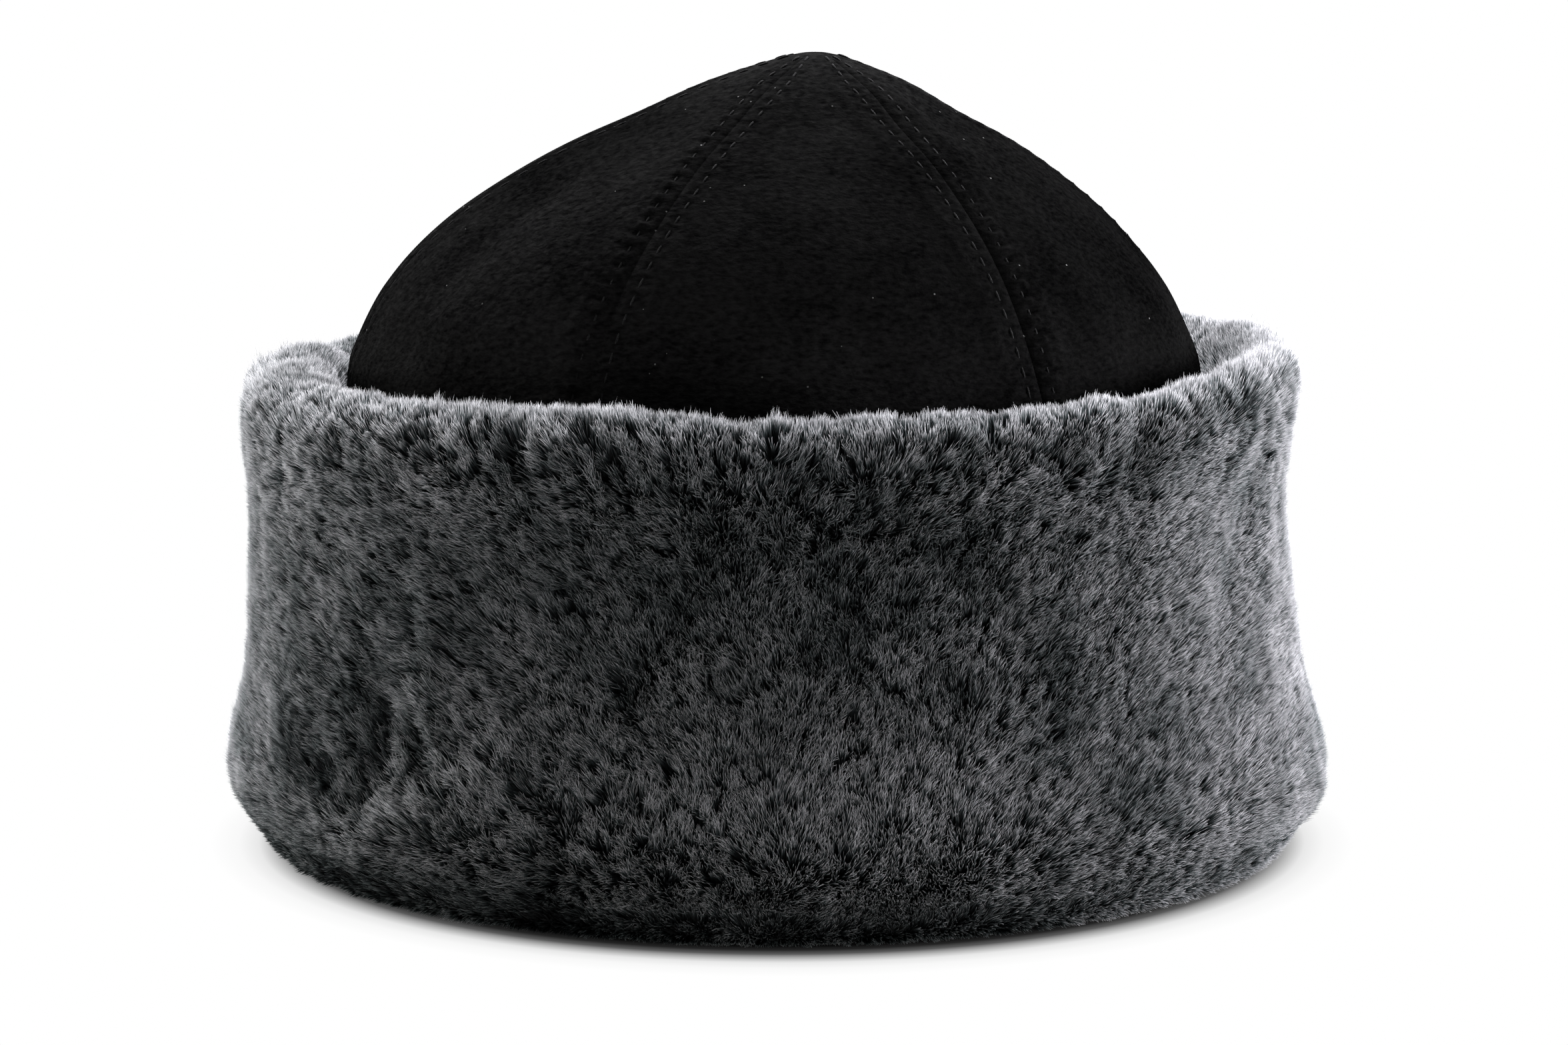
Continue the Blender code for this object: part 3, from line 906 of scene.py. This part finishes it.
def crown_surface(line, distance, from_edge, gore, mirrored):
    """Places on a gore's outer face, from_edge metres from one of its cut edges."""
    seam_azimuth = SEAM_AZIMUTHS[gore]
    half_gore = half_gore_of(gore)
    radius, height = np.moveaxis(line.at(distance), -1, 0)
    cut = np.degrees(np.arcsin(SEAM_SLIT / 2 / radius))
    room = np.radians(half_gore - cut) * radius
    scale = np.minimum(1.0, room / SEAM_FULL_WIDTH)
    from_seam = cut + np.degrees(from_edge * scale / radius)
    section = np.array(SEAM_SECTION) * MM
    rise = np.interp(from_edge, section[:, 0], section[:, 1]) * scale
    strength = PUFF_EVERYWHERE
    for seam, at_other, begin, full, more in PUFFED_ROWS:
        here = (seam_azimuth == seam) * (mirrored == at_other)
        strength = strength + more * here * smoothstep(height, begin * MM, full * MM)
    rise = rise + stitch_pull(from_edge, distance, scale, strength)
    off_middle = np.radians(half_gore - from_seam)
    facet = math.cos(math.radians(half_gore)) / np.cos(off_middle)
    flat_heights, flatness = np.array(PANEL_FLATNESS).T
    radius = radius * (1 - np.interp(height / MM, flat_heights, flatness) * (1 - facet))
    azimuth = seam_azimuth + np.where(mirrored, 2 * half_gore - from_seam, from_seam)
    drifting, reach, drift = SEAM_DRIFT
    beside = bell(turn_between(azimuth, drifting), reach)
    azimuth = azimuth + drift * smoothstep(height, DRIFT_BEGIN_HEIGHT, DRIFT_FULL_HEIGHT) * beside
    shown = smoothstep(height, CROWN_HIDDEN_HEIGHT, CROWN_SHOWN_HEIGHT)
    rise = (rise + forms_at(CROWN_CREASES, azimuth, height, radius) * MM) * shown
    out = line.outward(distance)
    radius = radius + rise * out[..., 0]
    height = height + rise * out[..., 1]
    share = np.maximum(height - LEAN_START_HEIGHT, 0.0) / (PEAK_HEIGHT - LEAN_START_HEIGHT)
    angle = np.radians(azimuth)
    across = radius * np.sin(angle) + PEAK_LEAN * share**LEAN_POWER + AXIS[0]
    return np.stack([across, -radius * np.cos(angle) + AXIS[1], height], -1)


def crown_axis():
    """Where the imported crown's axis stands: the middle of the gores' shared box."""
    boxes = [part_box(f"crown_gore_{i + 1}") for i in range(len(SEAM_AZIMUTHS))]
    low = np.min([box[0] for box in boxes], axis=0)
    high = np.max([box[1] for box in boxes], axis=0)
    return (low + high) / 2


def half_gore_of(index):
    """Half of a gore's width in degrees."""
    after = SEAM_AZIMUTHS[(index + 1) % len(SEAM_AZIMUTHS)]
    return ((after - SEAM_AZIMUTHS[index]) % 360.0) / 2


def build_gore(index, line, finish):
    """A gore as a grid of rows and columns, finest along its seams, given a wall of suede."""
    hidden = float(line.marks[-2])
    rows = np.arange(0.0, hidden, GORE_ROW_STEP)
    rows = np.concatenate([rows, np.linspace(hidden, line.length, WALL_ROWS)])
    distance = rows[:, None]
    radius = line.at(distance)[..., 0]
    cut = np.arcsin(SEAM_SLIT / 2 / radius)
    room = (math.radians(half_gore_of(index)) - cut) * radius
    scale = np.minimum(1.0, room / SEAM_FULL_WIDTH)
    seam = np.array(SEAM_COLUMNS)[None, :] * MM
    last = seam[:, -1:]
    panel = last + (room / scale - last) * np.array(PANEL_COLUMNS)[None, :]
    left = np.hstack([np.broadcast_to(seam, (len(rows), seam.shape[1])), panel])
    columns = 2 * left.shape[1] - 1
    from_edge = np.hstack([left, left[:, -2::-1]])
    mirrored = np.arange(columns)[None, :] >= left.shape[1]
    distance = np.broadcast_to(distance, from_edge.shape)
    places = crown_surface(line, distance, from_edge, index, mirrored)
    mesh = bpy.data.meshes.new(f"suede_gore_{index + 1}")
    corner = np.arange(len(rows) - 1)[:, None] * columns + np.arange(columns - 1)[None, :]
    faces = np.stack([corner, corner + columns, corner + columns + 1, corner + 1], -1)
    mesh.from_pydata(places.reshape(-1, 3).tolist(), [], faces.reshape(-1, 4).tolist())
    gore = piece_from(mesh, mesh.name, finish)
    wall = gore.modifiers.new("suede wall", "SOLIDIFY")
    wall.thickness = SUEDE_THICKNESS
    wall.offset = -1.0
    wall.use_even_offset = True
    apply_modifiers(gore)
    gore.data.shade_smooth()
    gore.data.set_sharp_from_angle(angle=math.radians(SHARP_EDGE))
    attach(gore, "root")
    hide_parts(f"crown_gore_{index + 1}")


# Stitches


def stitch_mesh():
    """One stitch lying along X: a round thread that dips into its holes at both ends."""
    turns = [2 * math.pi * side / THREAD_SIDES for side in range(THREAD_SIDES)]
    places = [
        (
            along * STITCH_LENGTH,
            math.cos(turn) * size * THREAD_WIDTH / 2,
            math.sin(turn) * size * THREAD_WIDTH / 2 + lift * THREAD_WIDTH,
        )
        for along, size, lift in STITCH_RINGS
        for turn in turns
    ]
    rings = np.arange(len(places)).reshape(-1, THREAD_SIDES)
    after = np.roll(rings, -1, axis=1)
    faces = np.stack([rings[:-1], rings[1:], after[1:], after[:-1]], -1).reshape(-1, 4).tolist()
    mesh = bpy.data.meshes.new("stitch")
    mesh.from_pydata(places, [], [*faces, rings[0].tolist(), rings[-1, ::-1].tolist()])
    shape = bmesh.new()
    shape.from_mesh(mesh)
    bmesh.ops.recalc_face_normals(shape, faces=shape.faces[:])
    shape.to_mesh(mesh)
    shape.free()
    return mesh


def topstitch_tree():
    """A stitch at each point of the rows, turned to lie along its row on the suede."""
    tree, given = new_tree(
        "topstitch rows",
        (
            ("Rows", "Geometry", "INPUT"),
            ("Stitch", "Object", "INPUT"),
            ("Thread", "Material", "INPUT"),
            ("Stitches", "Geometry", "OUTPUT"),
        ),
    )
    path = add_node(tree, "GeometryNodeMeshToCurve", {"Mesh": given["Rows"]})
    out = add_node(
        tree, "GeometryNodeInputNamedAttribute", {"Name": "out"}, data_type="FLOAT_VECTOR"
    )
    along = add_node(tree, "GeometryNodeInputTangent")
    turned = add_node(
        tree,
        "FunctionNodeAxesToRotation",
        {0: along, 1: out},
        primary_axis="X",
        secondary_axis="Z",
    )
    shape = add_node(
        tree, "GeometryNodeObjectInfo", {"Object": given["Stitch"]}, transform_space="ORIGINAL"
    ).outputs["Geometry"]
    placed = add_node(
        tree,
        "GeometryNodeInstanceOnPoints",
        {"Points": path, "Instance": shape, "Rotation": turned},
    )
    real = add_node(tree, "GeometryNodeRealizeInstances", {0: placed})
    threaded = add_node(
        tree, "GeometryNodeSetMaterial", {"Geometry": real, "Material": given["Thread"]}
    )
    add_node(tree, "NodeGroupOutput", {0: threaded})
    return tree


def build_stitches(line, finish):
    """Both rows of every seam, as points on the suede that the tree lays stitches on."""
    places, outs, edges = [], [], []
    count = int((line.marks[-2] - STITCH_END_GAP - STITCH_START) / STITCH_PITCH)
    steps = STITCH_START + STITCH_PITCH * np.arange(count)
    middle = np.array([AXIS[0], AXIS[1], CROWN_MIDDLE_HEIGHT])
    for seam in range(len(SEAM_AZIMUTHS)):
        for side in (0, 1):
            gore = (seam - side) % len(SEAM_AZIMUTHS)
            mirrored = np.full(steps.shape, side == 1)
            here, near, wide = (
                crown_surface(line, steps, np.full(steps.shape, from_edge), gore, mirrored)
                for from_edge in (
                    STITCH_ROW,
                    STITCH_ROW - ROW_INNER_SIDE,
                    STITCH_ROW + ROW_OUTER_SIDE,
                )
            )
            out = unit(np.cross(np.gradient(here, axis=0), wide - near))
            out *= np.sign(np.sum(out * (here - middle), axis=1))[:, None]
            first = len(places)
            places += (here + out * THREAD_LIFT).tolist()
            outs += out.tolist()
            edges += [(i, i + 1) for i in range(first, len(places) - 1)]
    mesh = bpy.data.meshes.new("topstitching")
    mesh.from_pydata(places, edges, [])
    mesh.attributes.new("out", "FLOAT_VECTOR", "POINT").data.foreach_set(
        "vector", np.array(outs, np.float32).ravel()
    )
    stitches = piece_from(mesh, "topstitching")
    single = piece_from(stitch_mesh(), "stitch")
    grow(stitches, topstitch_tree(), {"Stitch": single, "Thread": finish})
    bpy.data.objects.remove(single, do_unlink=True)
    stitches.data.shade_smooth()
    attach(stitches, "root")


# Fleece


def growth_noise(places, per_metre, begin=(0, 0, 0)):
    """Soft noise from -1 to 1 at places, with a fixed beginning instead of a seed."""
    shift = Vector(begin)
    return np.array([noise.noise(Vector(place) * per_metre + shift) for place in places])


def smooth_skin(finish):
    """The cuff's own solid, joined up and rounded."""
    shape = bmesh.new()
    shape.from_mesh(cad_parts["fur_cuff"].data)
    bmesh.ops.remove_doubles(shape, verts=shape.verts[:], dist=JOIN_DISTANCE)
    bmesh.ops.join_triangles(
        shape,
        faces=shape.faces[:],
        angle_face_threshold=JOIN_FLATNESS,
        angle_shape_threshold=JOIN_EVENNESS,
    )
    mesh = bpy.data.meshes.new("cuff_pelt")
    shape.to_mesh(mesh)
    shape.free()
    pelt = piece_from(mesh, "cuff_pelt", finish)
    smooth = pelt.modifiers.new("smooth skin", "SUBSURF")
    smooth.levels = 1
    smooth.render_levels = 1
    apply_modifiers(pelt)
    pelt.data.shade_smooth()
    return pelt


def build_pelt(finish):
    """The skin under the fleece: the cuff's own solid, drawn in where strands stand on it."""
    pelt = smooth_skin(finish)
    mesh = pelt.data
    count = len(mesh.vertices)
    places = np.empty(count * 3, np.float32)
    mesh.vertices.foreach_get("co", places)
    places = places.reshape(-1, 3).astype(float)
    normals = np.array([vertex.normal[:] for vertex in mesh.vertices])
    radius = np.hypot(places[:, 0] - AXIS[0], places[:, 1] - AXIS[1])
    azimuth = np.degrees(np.arctan2(places[:, 0] - AXIS[0], -(places[:, 1] - AXIS[1])))
    height = places[:, 2]
    angle = np.radians(azimuth)
    radial = np.stack([np.sin(angle), -np.cos(angle), np.zeros(count)], -1)
    side = np.stack([np.cos(angle), np.sin(angle), np.zeros(count)], -1)

    # Shares from 0 to 1: the outer side, the lip inside, the crest on top, the turn of the foot
    outer = smoothstep(np.sum(normals * radial, axis=1), *OUTER_FACING)
    lip = smoothstep(height, *LIP_HEIGHTS)
    crest = smoothstep(normals[:, 2], *CREST_FACING) * (height > CREST_HEIGHT)
    foot = (1 - smoothstep(height, *FOOT_HEIGHTS)) * (radius > OUTER_RADIUS)
    # Strands under the turn of the foot point outwards, so that they stay off the floor
    tilted = radial + np.array([0, 0, FOOT_TILT])
    outward = unit(normals * (1 - foot[:, None]) + tilted * foot[:, None])
    depth = PELT_DEPTH * outer + LIP_DEPTH * lip * (1 - outer)
    depth = depth * (1 - crest) + CREST_DEPTH * crest
    depth *= np.where(
        radius > OUTER_RADIUS, 1 - FOOT_THINNING * foot, smoothstep(height, *FOOT_HEIGHTS)
    )
    rise = forms_at(FUR_FORMS, azimuth, height, radius) * MM
    moved = places + outward * (SKIN_SHARE * rise - depth)[:, None]
    moved[:, 2] = np.maximum(moved[:, 2], 0.0)
    mesh.vertices.foreach_set("co", moved.astype(np.float32).ravel())

    # The way that strands are combed: up the skin, turned by the combing and by swirls
    up = np.array([0.0, 0.0, 1.0]) - outward * outward[:, 2:3]
    lean = np.radians(SWIRL) * growth_noise(places, SWIRLS)
    for middle, half_width, turned, begin, full in COMBING:
        reached = smoothstep(height, begin * MM, full * MM)
        lean += np.radians(turned) * bell(azimuth - middle, half_width) * reached
    sideways = np.sin(lean) * np.linalg.norm(up, axis=1)
    comb = up * np.cos(lean)[:, None] + side * sideways[:, None]
    # Tips part along a hollow and close over a lump
    turn = np.degrees(SLOPE_STEP / radius)
    slope_side = forms_at(FUR_FORMS, azimuth + turn, height, radius) * MM - rise
    slope_up = forms_at(FUR_FORMS, azimuth, height + SLOPE_STEP, radius) * MM - rise
    slope = side * slope_side[:, None] + up * slope_up[:, None]
    comb += PARTING_PULL * slope / SLOPE_STEP
    # The lowest strands hang down over the foot
    lowest = (radius > OUTER_RADIUS) * (1 - smoothstep(height, 0.0, HANGING_HEIGHT))
    comb *= (1 - HANGING_PULL * lowest)[:, None]
    standing = (STANDING_SHARE - FOOT_SHIFT * foot)[:, None]
    combed = (COMBED_SHARE + FOOT_SHIFT * foot)[:, None]
    lying = unit(outward * standing + comb * combed)

    ripple = growth_noise(places, RIPPLES, RIPPLE_PLACE)
    pile = depth * (1 + RIPPLE_SHARE * ripple) + SHORTEST_PILE
    pile += np.maximum(PILE_SHARE * rise, -DEEPEST_CUT * depth)
    # Tone in patches at random, and painted light: the crest paler where it faces up
    patch = PATCHINESS * growth_noise(places, PATCHES, PATCH_PLACE) + crest
    # Painted shade in the hollows, darker the deeper they are
    patch += HOLLOW_PAINTED_SHADE * np.minimum(rise, 0) / HOLLOW_DEPTH
    # Paler and darker parts, with painted shade at the foot
    patch += forms_at(FUR_TONES_AND_PAINTED_SHADE, azimuth, height, radius)
    tufted = TUFTED_EVERYWHERE + forms_at(FUR_TUFTING, azimuth, height, radius)
    tufted = np.clip(tufted, LEAST_TUFTED, MOST_TUFTED)
    fields = {"lying": lying, "outward": outward, "pile": pile, "patch": patch, "tufted": tufted}
    for name, kind in PELT_FIELDS:
        mesh.attributes.new(name, kind, "POINT").data.foreach_set(
            "vector" if kind == "FLOAT_VECTOR" else "value",
            fields[name].astype(np.float32).ravel(),
        )
    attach(pelt, "root")
    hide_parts("fur_cuff")
    return pelt


def strand_mesh():
    """One strand as a slim blade that narrows from its root to its tip."""
    mesh = bpy.data.meshes.new("strand")
    mesh.from_pydata([(-0.5, 0, 0), (0.5, 0, 0), (0, 0, 1)], [], [(0, 1, 2)])
    mesh.attributes.new("along", "FLOAT", "POINT").data.foreach_set("value", [0, 0, 1])
    mesh.attributes.new("side", "FLOAT", "POINT").data.foreach_set("value", [-0.5, 0.5, 0])
    return mesh


def fleece_tree():
    """Strands that stand on the pelt, drawn together into tufts and locks, evenly sheared."""
    tree, given = new_tree(
        "sheared fleece",
        (
            ("Pelt", "Geometry", "INPUT"),
            ("Strand", "Object", "INPUT"),
            ("Density", "Float", "INPUT"),
            ("Strand Width", "Float", "INPUT"),
            ("Tuft Size", "Float", "INPUT"),
            ("Tuft Pull", "Float", "INPUT"),
            ("Lock Size", "Float", "INPUT"),
            ("Lock Pull", "Float", "INPUT"),
            ("Straying", "Float", "INPUT"),
            ("Gap Spacing", "Float", "INPUT"),
            ("Seed", "Int", "INPUT"),
            ("Fleece", "Material", "INPUT"),
            ("Strands", "Geometry", "OUTPUT"),
        ),
    )
    roots = add_node(
        tree,
        "GeometryNodeDistributePointsOnFaces",
        {"Mesh": given["Pelt"], "Density": given["Density"], "Seed": given["Seed"]},
        distribute_method="RANDOM",
    )
    place = add_node(tree, "GeometryNodeInputPosition")
    field = {
        name: add_node(
            tree, "GeometryNodeInputNamedAttribute", {"Name": name}, data_type=kind
        )
        for name, kind in (*PELT_FIELDS, *STRAND_FIELDS)
    }
    by_chance = {
        name: add_node(
            tree, "FunctionNodeRandomValue", {2: low, 3: high, "Seed": seed}, data_type="FLOAT"
        ).outputs[1]
        for name, low, high, seed in SCATTER
    }
    outward = add_node(
        tree, "ShaderNodeVectorMath", {0: field["outward"]}, operation="NORMALIZE"
    )

    # Where the strand's tuft and lock have their middles, along the skin
    pulls = []
    cells = []
    for size, pull in (("Tuft Size", "Tuft Pull"), ("Lock Size", "Lock Pull")):
        per_metre = add_node(tree, "ShaderNodeMath", {0: 1.0, 1: given[size]}, operation="DIVIDE")
        cell = add_node(
            tree,
            "ShaderNodeTexVoronoi",
            {"Vector": place, "Scale": per_metre, "Randomness": 1.0},
            voronoi_dimensions="3D",
            feature="F1",
        ).outputs
        off = add_node(
            tree, "ShaderNodeVectorMath", {0: cell["Position"], 1: place}, operation="SUBTRACT"
        )
        above = add_node(
            tree, "ShaderNodeVectorMath", {0: off, 1: outward}, operation="DOT_PRODUCT"
        )
        raised = add_node(
            tree,
            "ShaderNodeVectorMath",
            {0: outward, "Scale": above.outputs["Value"]},
            operation="SCALE",
        )
        flat = add_node(tree, "ShaderNodeVectorMath", {0: off, 1: raised}, operation="SUBTRACT")
        pulls.append(
            add_node(
                tree, "ShaderNodeVectorMath", {0: flat, "Scale": given[pull]}, operation="SCALE"
            )
        )
        cells.append(add_node(tree, "FunctionNodeSeparateColor", {0: cell["Color"]}).outputs)
    tuft, lock = cells
    pulled = add_node(
        tree, "ShaderNodeVectorMath", {0: pulls[0], 1: pulls[1]}, operation="ADD"
    )
    drawn = add_node(
        tree, "ShaderNodeVectorMath", {0: pulled, "Scale": field["tufted"]}, operation="SCALE"
    )

    # Thin places where the fleece opens, taller than they are wide
    stretched = add_node(
        tree, "ShaderNodeVectorMath", {0: place, 1: GAP_STRETCH}, operation="MULTIPLY"
    )
    per_metre = add_node(
        tree, "ShaderNodeMath", {0: 1.0, 1: given["Gap Spacing"]}, operation="DIVIDE"
    )
    thin = add_node(
        tree, "ShaderNodeTexNoise", {"Vector": stretched, "Scale": per_metre, "Detail": 1.0}
    )
    opened = add_node(
        tree,
        "ShaderNodeMapRange",
        {0: thin, 1: GAP_BEGIN, 2: GAP_FULL, 3: 0.0, 4: 1.0},
        interpolation_type="SMOOTHSTEP",
    )
    gap = add_node(
        tree, "ShaderNodeMath", {0: opened, 1: field["tufted"]}, operation="MULTIPLY"
    )

    # A strand's way: as it lies on the pelt, astray by chance, and with its tuft's own lean
    stray = add_node(
        tree,
        "FunctionNodeRandomValue",
        {0: (-1, -1, -1), 1: (1, 1, 1), "Seed": STRAY_SEED},
        data_type="FLOAT_VECTOR",
    )
    astray = add_node(
        tree, "ShaderNodeVectorMath", {0: stray, "Scale": given["Straying"]}, operation="SCALE"
    )
    own_way = add_node(tree, "ShaderNodeCombineXYZ", {0: tuft[0], 1: tuft[1], 2: tuft[2]})
    centred = add_node(
        tree, "ShaderNodeVectorMath", {0: own_way, 1: (0.5, 0.5, 0.5)}, operation="SUBTRACT"
    )
    lean_share = add_node(
        tree, "ShaderNodeMath", {0: field["tufted"], 1: TUFT_LEAN}, operation="MULTIPLY"
    )
    leaning = add_node(
        tree, "ShaderNodeVectorMath", {0: centred, "Scale": lean_share}, operation="SCALE"
    )
    heading = field["lying"]
    for added in (astray, leaning):
        heading = add_node(
            tree, "ShaderNodeVectorMath", {0: heading, 1: added}, operation="ADD"
        )

    # The shears leave every strand about as high over the skin, however far it leans
    upright = add_node(
        tree, "ShaderNodeVectorMath", {0: heading, 1: outward}, operation="DOT_PRODUCT"
    )
    rise = add_node(
        tree,
        "ShaderNodeMath",
        {0: upright.outputs["Value"], 1: LEAST_RISE},
        operation="MAXIMUM",
    )
    grown = add_node(
        tree, "ShaderNodeMath", {0: field["pile"], 1: by_chance["length"]}, operation="MULTIPLY"
    )
    length = add_node(tree, "ShaderNodeMath", {0: grown, 1: rise}, operation="DIVIDE")
    for source, (share, base) in (
        (tuft[0], TUFT_LENGTH),
        (lock[1], LOCK_LENGTH),
        (gap, GAP_LENGTH),
    ):
        factor = add_node(
            tree, "ShaderNodeMath", {0: source, 1: share, 2: base}, operation="MULTIPLY_ADD"
        )
        length = add_node(tree, "ShaderNodeMath", {0: length, 1: factor}, operation="MULTIPLY")
    straight = add_node(
        tree, "ShaderNodeVectorMath", {0: heading, "Scale": length}, operation="SCALE"
    )
    reach = add_node(tree, "ShaderNodeVectorMath", {0: straight, 1: drawn}, operation="ADD")
    way = add_node(tree, "ShaderNodeVectorMath", {0: reach}, operation="NORMALIZE")
    long = add_node(tree, "ShaderNodeVectorMath", {0: reach}, operation="LENGTH")
    wide = add_node(
        tree,
        "ShaderNodeMath",
        {0: given["Strand Width"], 1: by_chance["width"]},
        operation="MULTIPLY",
    )
    size = add_node(tree, "ShaderNodeCombineXYZ", {0: wide, 1: wide, 2: long.outputs["Value"]})
    upward = add_node(
        tree,
        "FunctionNodeAxesToRotation",
        {0: way, 1: outward},
        primary_axis="Z",
        secondary_axis="Y",
    )
    spin = add_node(
        tree, "FunctionNodeAxisAngleToRotation", {0: (0, 0, 1), 1: by_chance["spin"]}
    )
    turned = add_node(
        tree, "FunctionNodeRotateRotation", {0: upward, 1: spin}, rotation_space="LOCAL"
    )

    # Tone: the tuft's own, then the pelt's patches with painted light and shade, the gap's painted
    # shade and chance
    own_tone = add_node(tree, "ShaderNodeMath", {0: tuft[1], 1: 0.5}, operation="SUBTRACT")
    tone_share = add_node(
        tree, "ShaderNodeMath", {0: field["tufted"], 1: TUFT_TONE}, operation="MULTIPLY"
    )
    tone = add_node(
        tree,
        "ShaderNodeMath",
        {0: own_tone, 1: tone_share, 2: TONE_MIDDLE},
        operation="MULTIPLY_ADD",
    )
    for source, share in ((field["patch"], PATCH_TONE), (gap, GAP_PAINTED_SHADE), (by_chance["tone"], 1.0)):
        tone = add_node(
            tree, "ShaderNodeMath", {0: source, 1: share, 2: tone}, operation="MULTIPLY_ADD"
        )
    darkest, palest = TONE_LIMITS
    kept_tone = add_node(
        tree, "ShaderNodeClamp", {"Value": tone, "Min": darkest, "Max": palest}
    )
    toned = add_node(
        tree,
        "GeometryNodeStoreNamedAttribute",
        {"Geometry": roots, "Name": "tone", "Value": kept_tone},
        data_type="FLOAT",
        domain="POINT",
    )
    shape = add_node(
        tree, "GeometryNodeObjectInfo", {"Object": given["Strand"]}, transform_space="ORIGINAL"
    ).outputs["Geometry"]
    placed = add_node(
        tree,
        "GeometryNodeInstanceOnPoints",
        {"Points": toned, "Instance": shape, "Rotation": turned, "Scale": size},
    )
    real = add_node(tree, "GeometryNodeRealizeInstances", {0: placed})

    # No tip goes into the floor
    point = add_node(tree, "ShaderNodeSeparateXYZ", {0: place}).outputs
    height = add_node(tree, "ShaderNodeMath", {0: point[2], 1: FLOOR_GAP}, operation="MAXIMUM")
    kept = add_node(tree, "ShaderNodeCombineXYZ", {0: point[0], 1: point[1], 2: height})
    stood = add_node(tree, "GeometryNodeSetPosition", {"Geometry": real, "Position": kept})

    # The UV map that the material reads: the tone across, the length upwards
    across = add_node(
        tree,
        "ShaderNodeMath",
        {0: field["side"], 1: UV_STRAND_WIDTH, 2: field["tone"]},
        operation="MULTIPLY_ADD",
    )
    along = add_node(
        tree,
        "ShaderNodeMath",
        {0: field["along"], 1: UV_STRAND_LENGTH, 2: UV_ROOT},
        operation="MULTIPLY_ADD",
    )
    on_map = add_node(tree, "ShaderNodeCombineXYZ", {0: across, 1: along})
    mapped = add_node(
        tree,
        "GeometryNodeStoreNamedAttribute",
        {"Geometry": stood, "Name": "OFBake", "Value": on_map},
        data_type="FLOAT2",
        domain="CORNER",
    )
    finished = add_node(
        tree, "GeometryNodeSetMaterial", {"Geometry": mapped, "Material": given["Fleece"]}
    )
    add_node(tree, "NodeGroupOutput", {0: finished})
    return tree


def sector_mesh(pelt, name, middle):
    """The part of the pelt that carries strands, a quarter of the way round, and its area."""
    shape = bmesh.new()
    shape.from_mesh(pelt.data)
    bare = []
    for face in shape.faces:
        centre = face.calc_center_median()
        across, ahead = centre.x - AXIS[0], -(centre.y - AXIS[1])
        away = turn_between(math.degrees(math.atan2(across, ahead)), middle)
        inner = math.hypot(across, ahead) < BARE_RADIUS and centre.z < BARE_HEIGHT
        if not -45 <= away < 45 or centre.z < FOOT_HEIGHT or inner:
            bare.append(face)
    bmesh.ops.delete(shape, geom=bare, context="FACES")
    area = sum(face.calc_area() for face in shape.faces)
    mesh = bpy.data.meshes.new(name)
    shape.to_mesh(mesh)
    shape.free()
    return mesh, area


def build_fleece(pelt, finish):
    """The strands, in four pieces because one would have too many triangles."""
    strand = piece_from(strand_mesh(), "strand")
    tree = fleece_tree()
    for number, (name, middle) in enumerate(QUARTERS):
        mesh, area = sector_mesh(pelt, name, middle)
        fleece = piece_from(mesh, name)
        sizes = {
            "Strand": strand,
            "Density": min(STRANDS_PER_MM2 / MM**2, MOST_STRANDS / area),
            "Strand Width": STRAND_WIDTH,
            "Tuft Size": TUFT_SIZE,
            "Tuft Pull": TUFT_PULL,
            "Lock Size": LOCK_SIZE,
            "Lock Pull": LOCK_PULL,
            "Straying": STRAYING,
            "Gap Spacing": GAP_SPACING,
            "Seed": number,
            "Fleece": finish,
        }
        grow(fleece, tree, sizes)
        for spare, _ in (*PELT_FIELDS, *STRAND_FIELDS):
            if spare in fleece.data.attributes:
                fleece.data.attributes.remove(fleece.data.attributes[spare])
        fleece.data.materials.clear()
        fleece.data.materials.append(finish)
        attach(fleece, "root")
    bpy.data.objects.remove(strand, do_unlink=True)
    for spare, _ in PELT_FIELDS:
        pelt.data.attributes.remove(pelt.data.attributes[spare])


AXIS = crown_axis()
build_studio()
suede = suede_finish()
outline = crown_line()
for gore_index in range(len(SEAM_AZIMUTHS)):
    build_gore(gore_index, outline, suede)
build_stitches(outline, thread_finish())
cuff_pelt = build_pelt(pelt_finish())
build_fleece(cuff_pelt, fleece_finish())
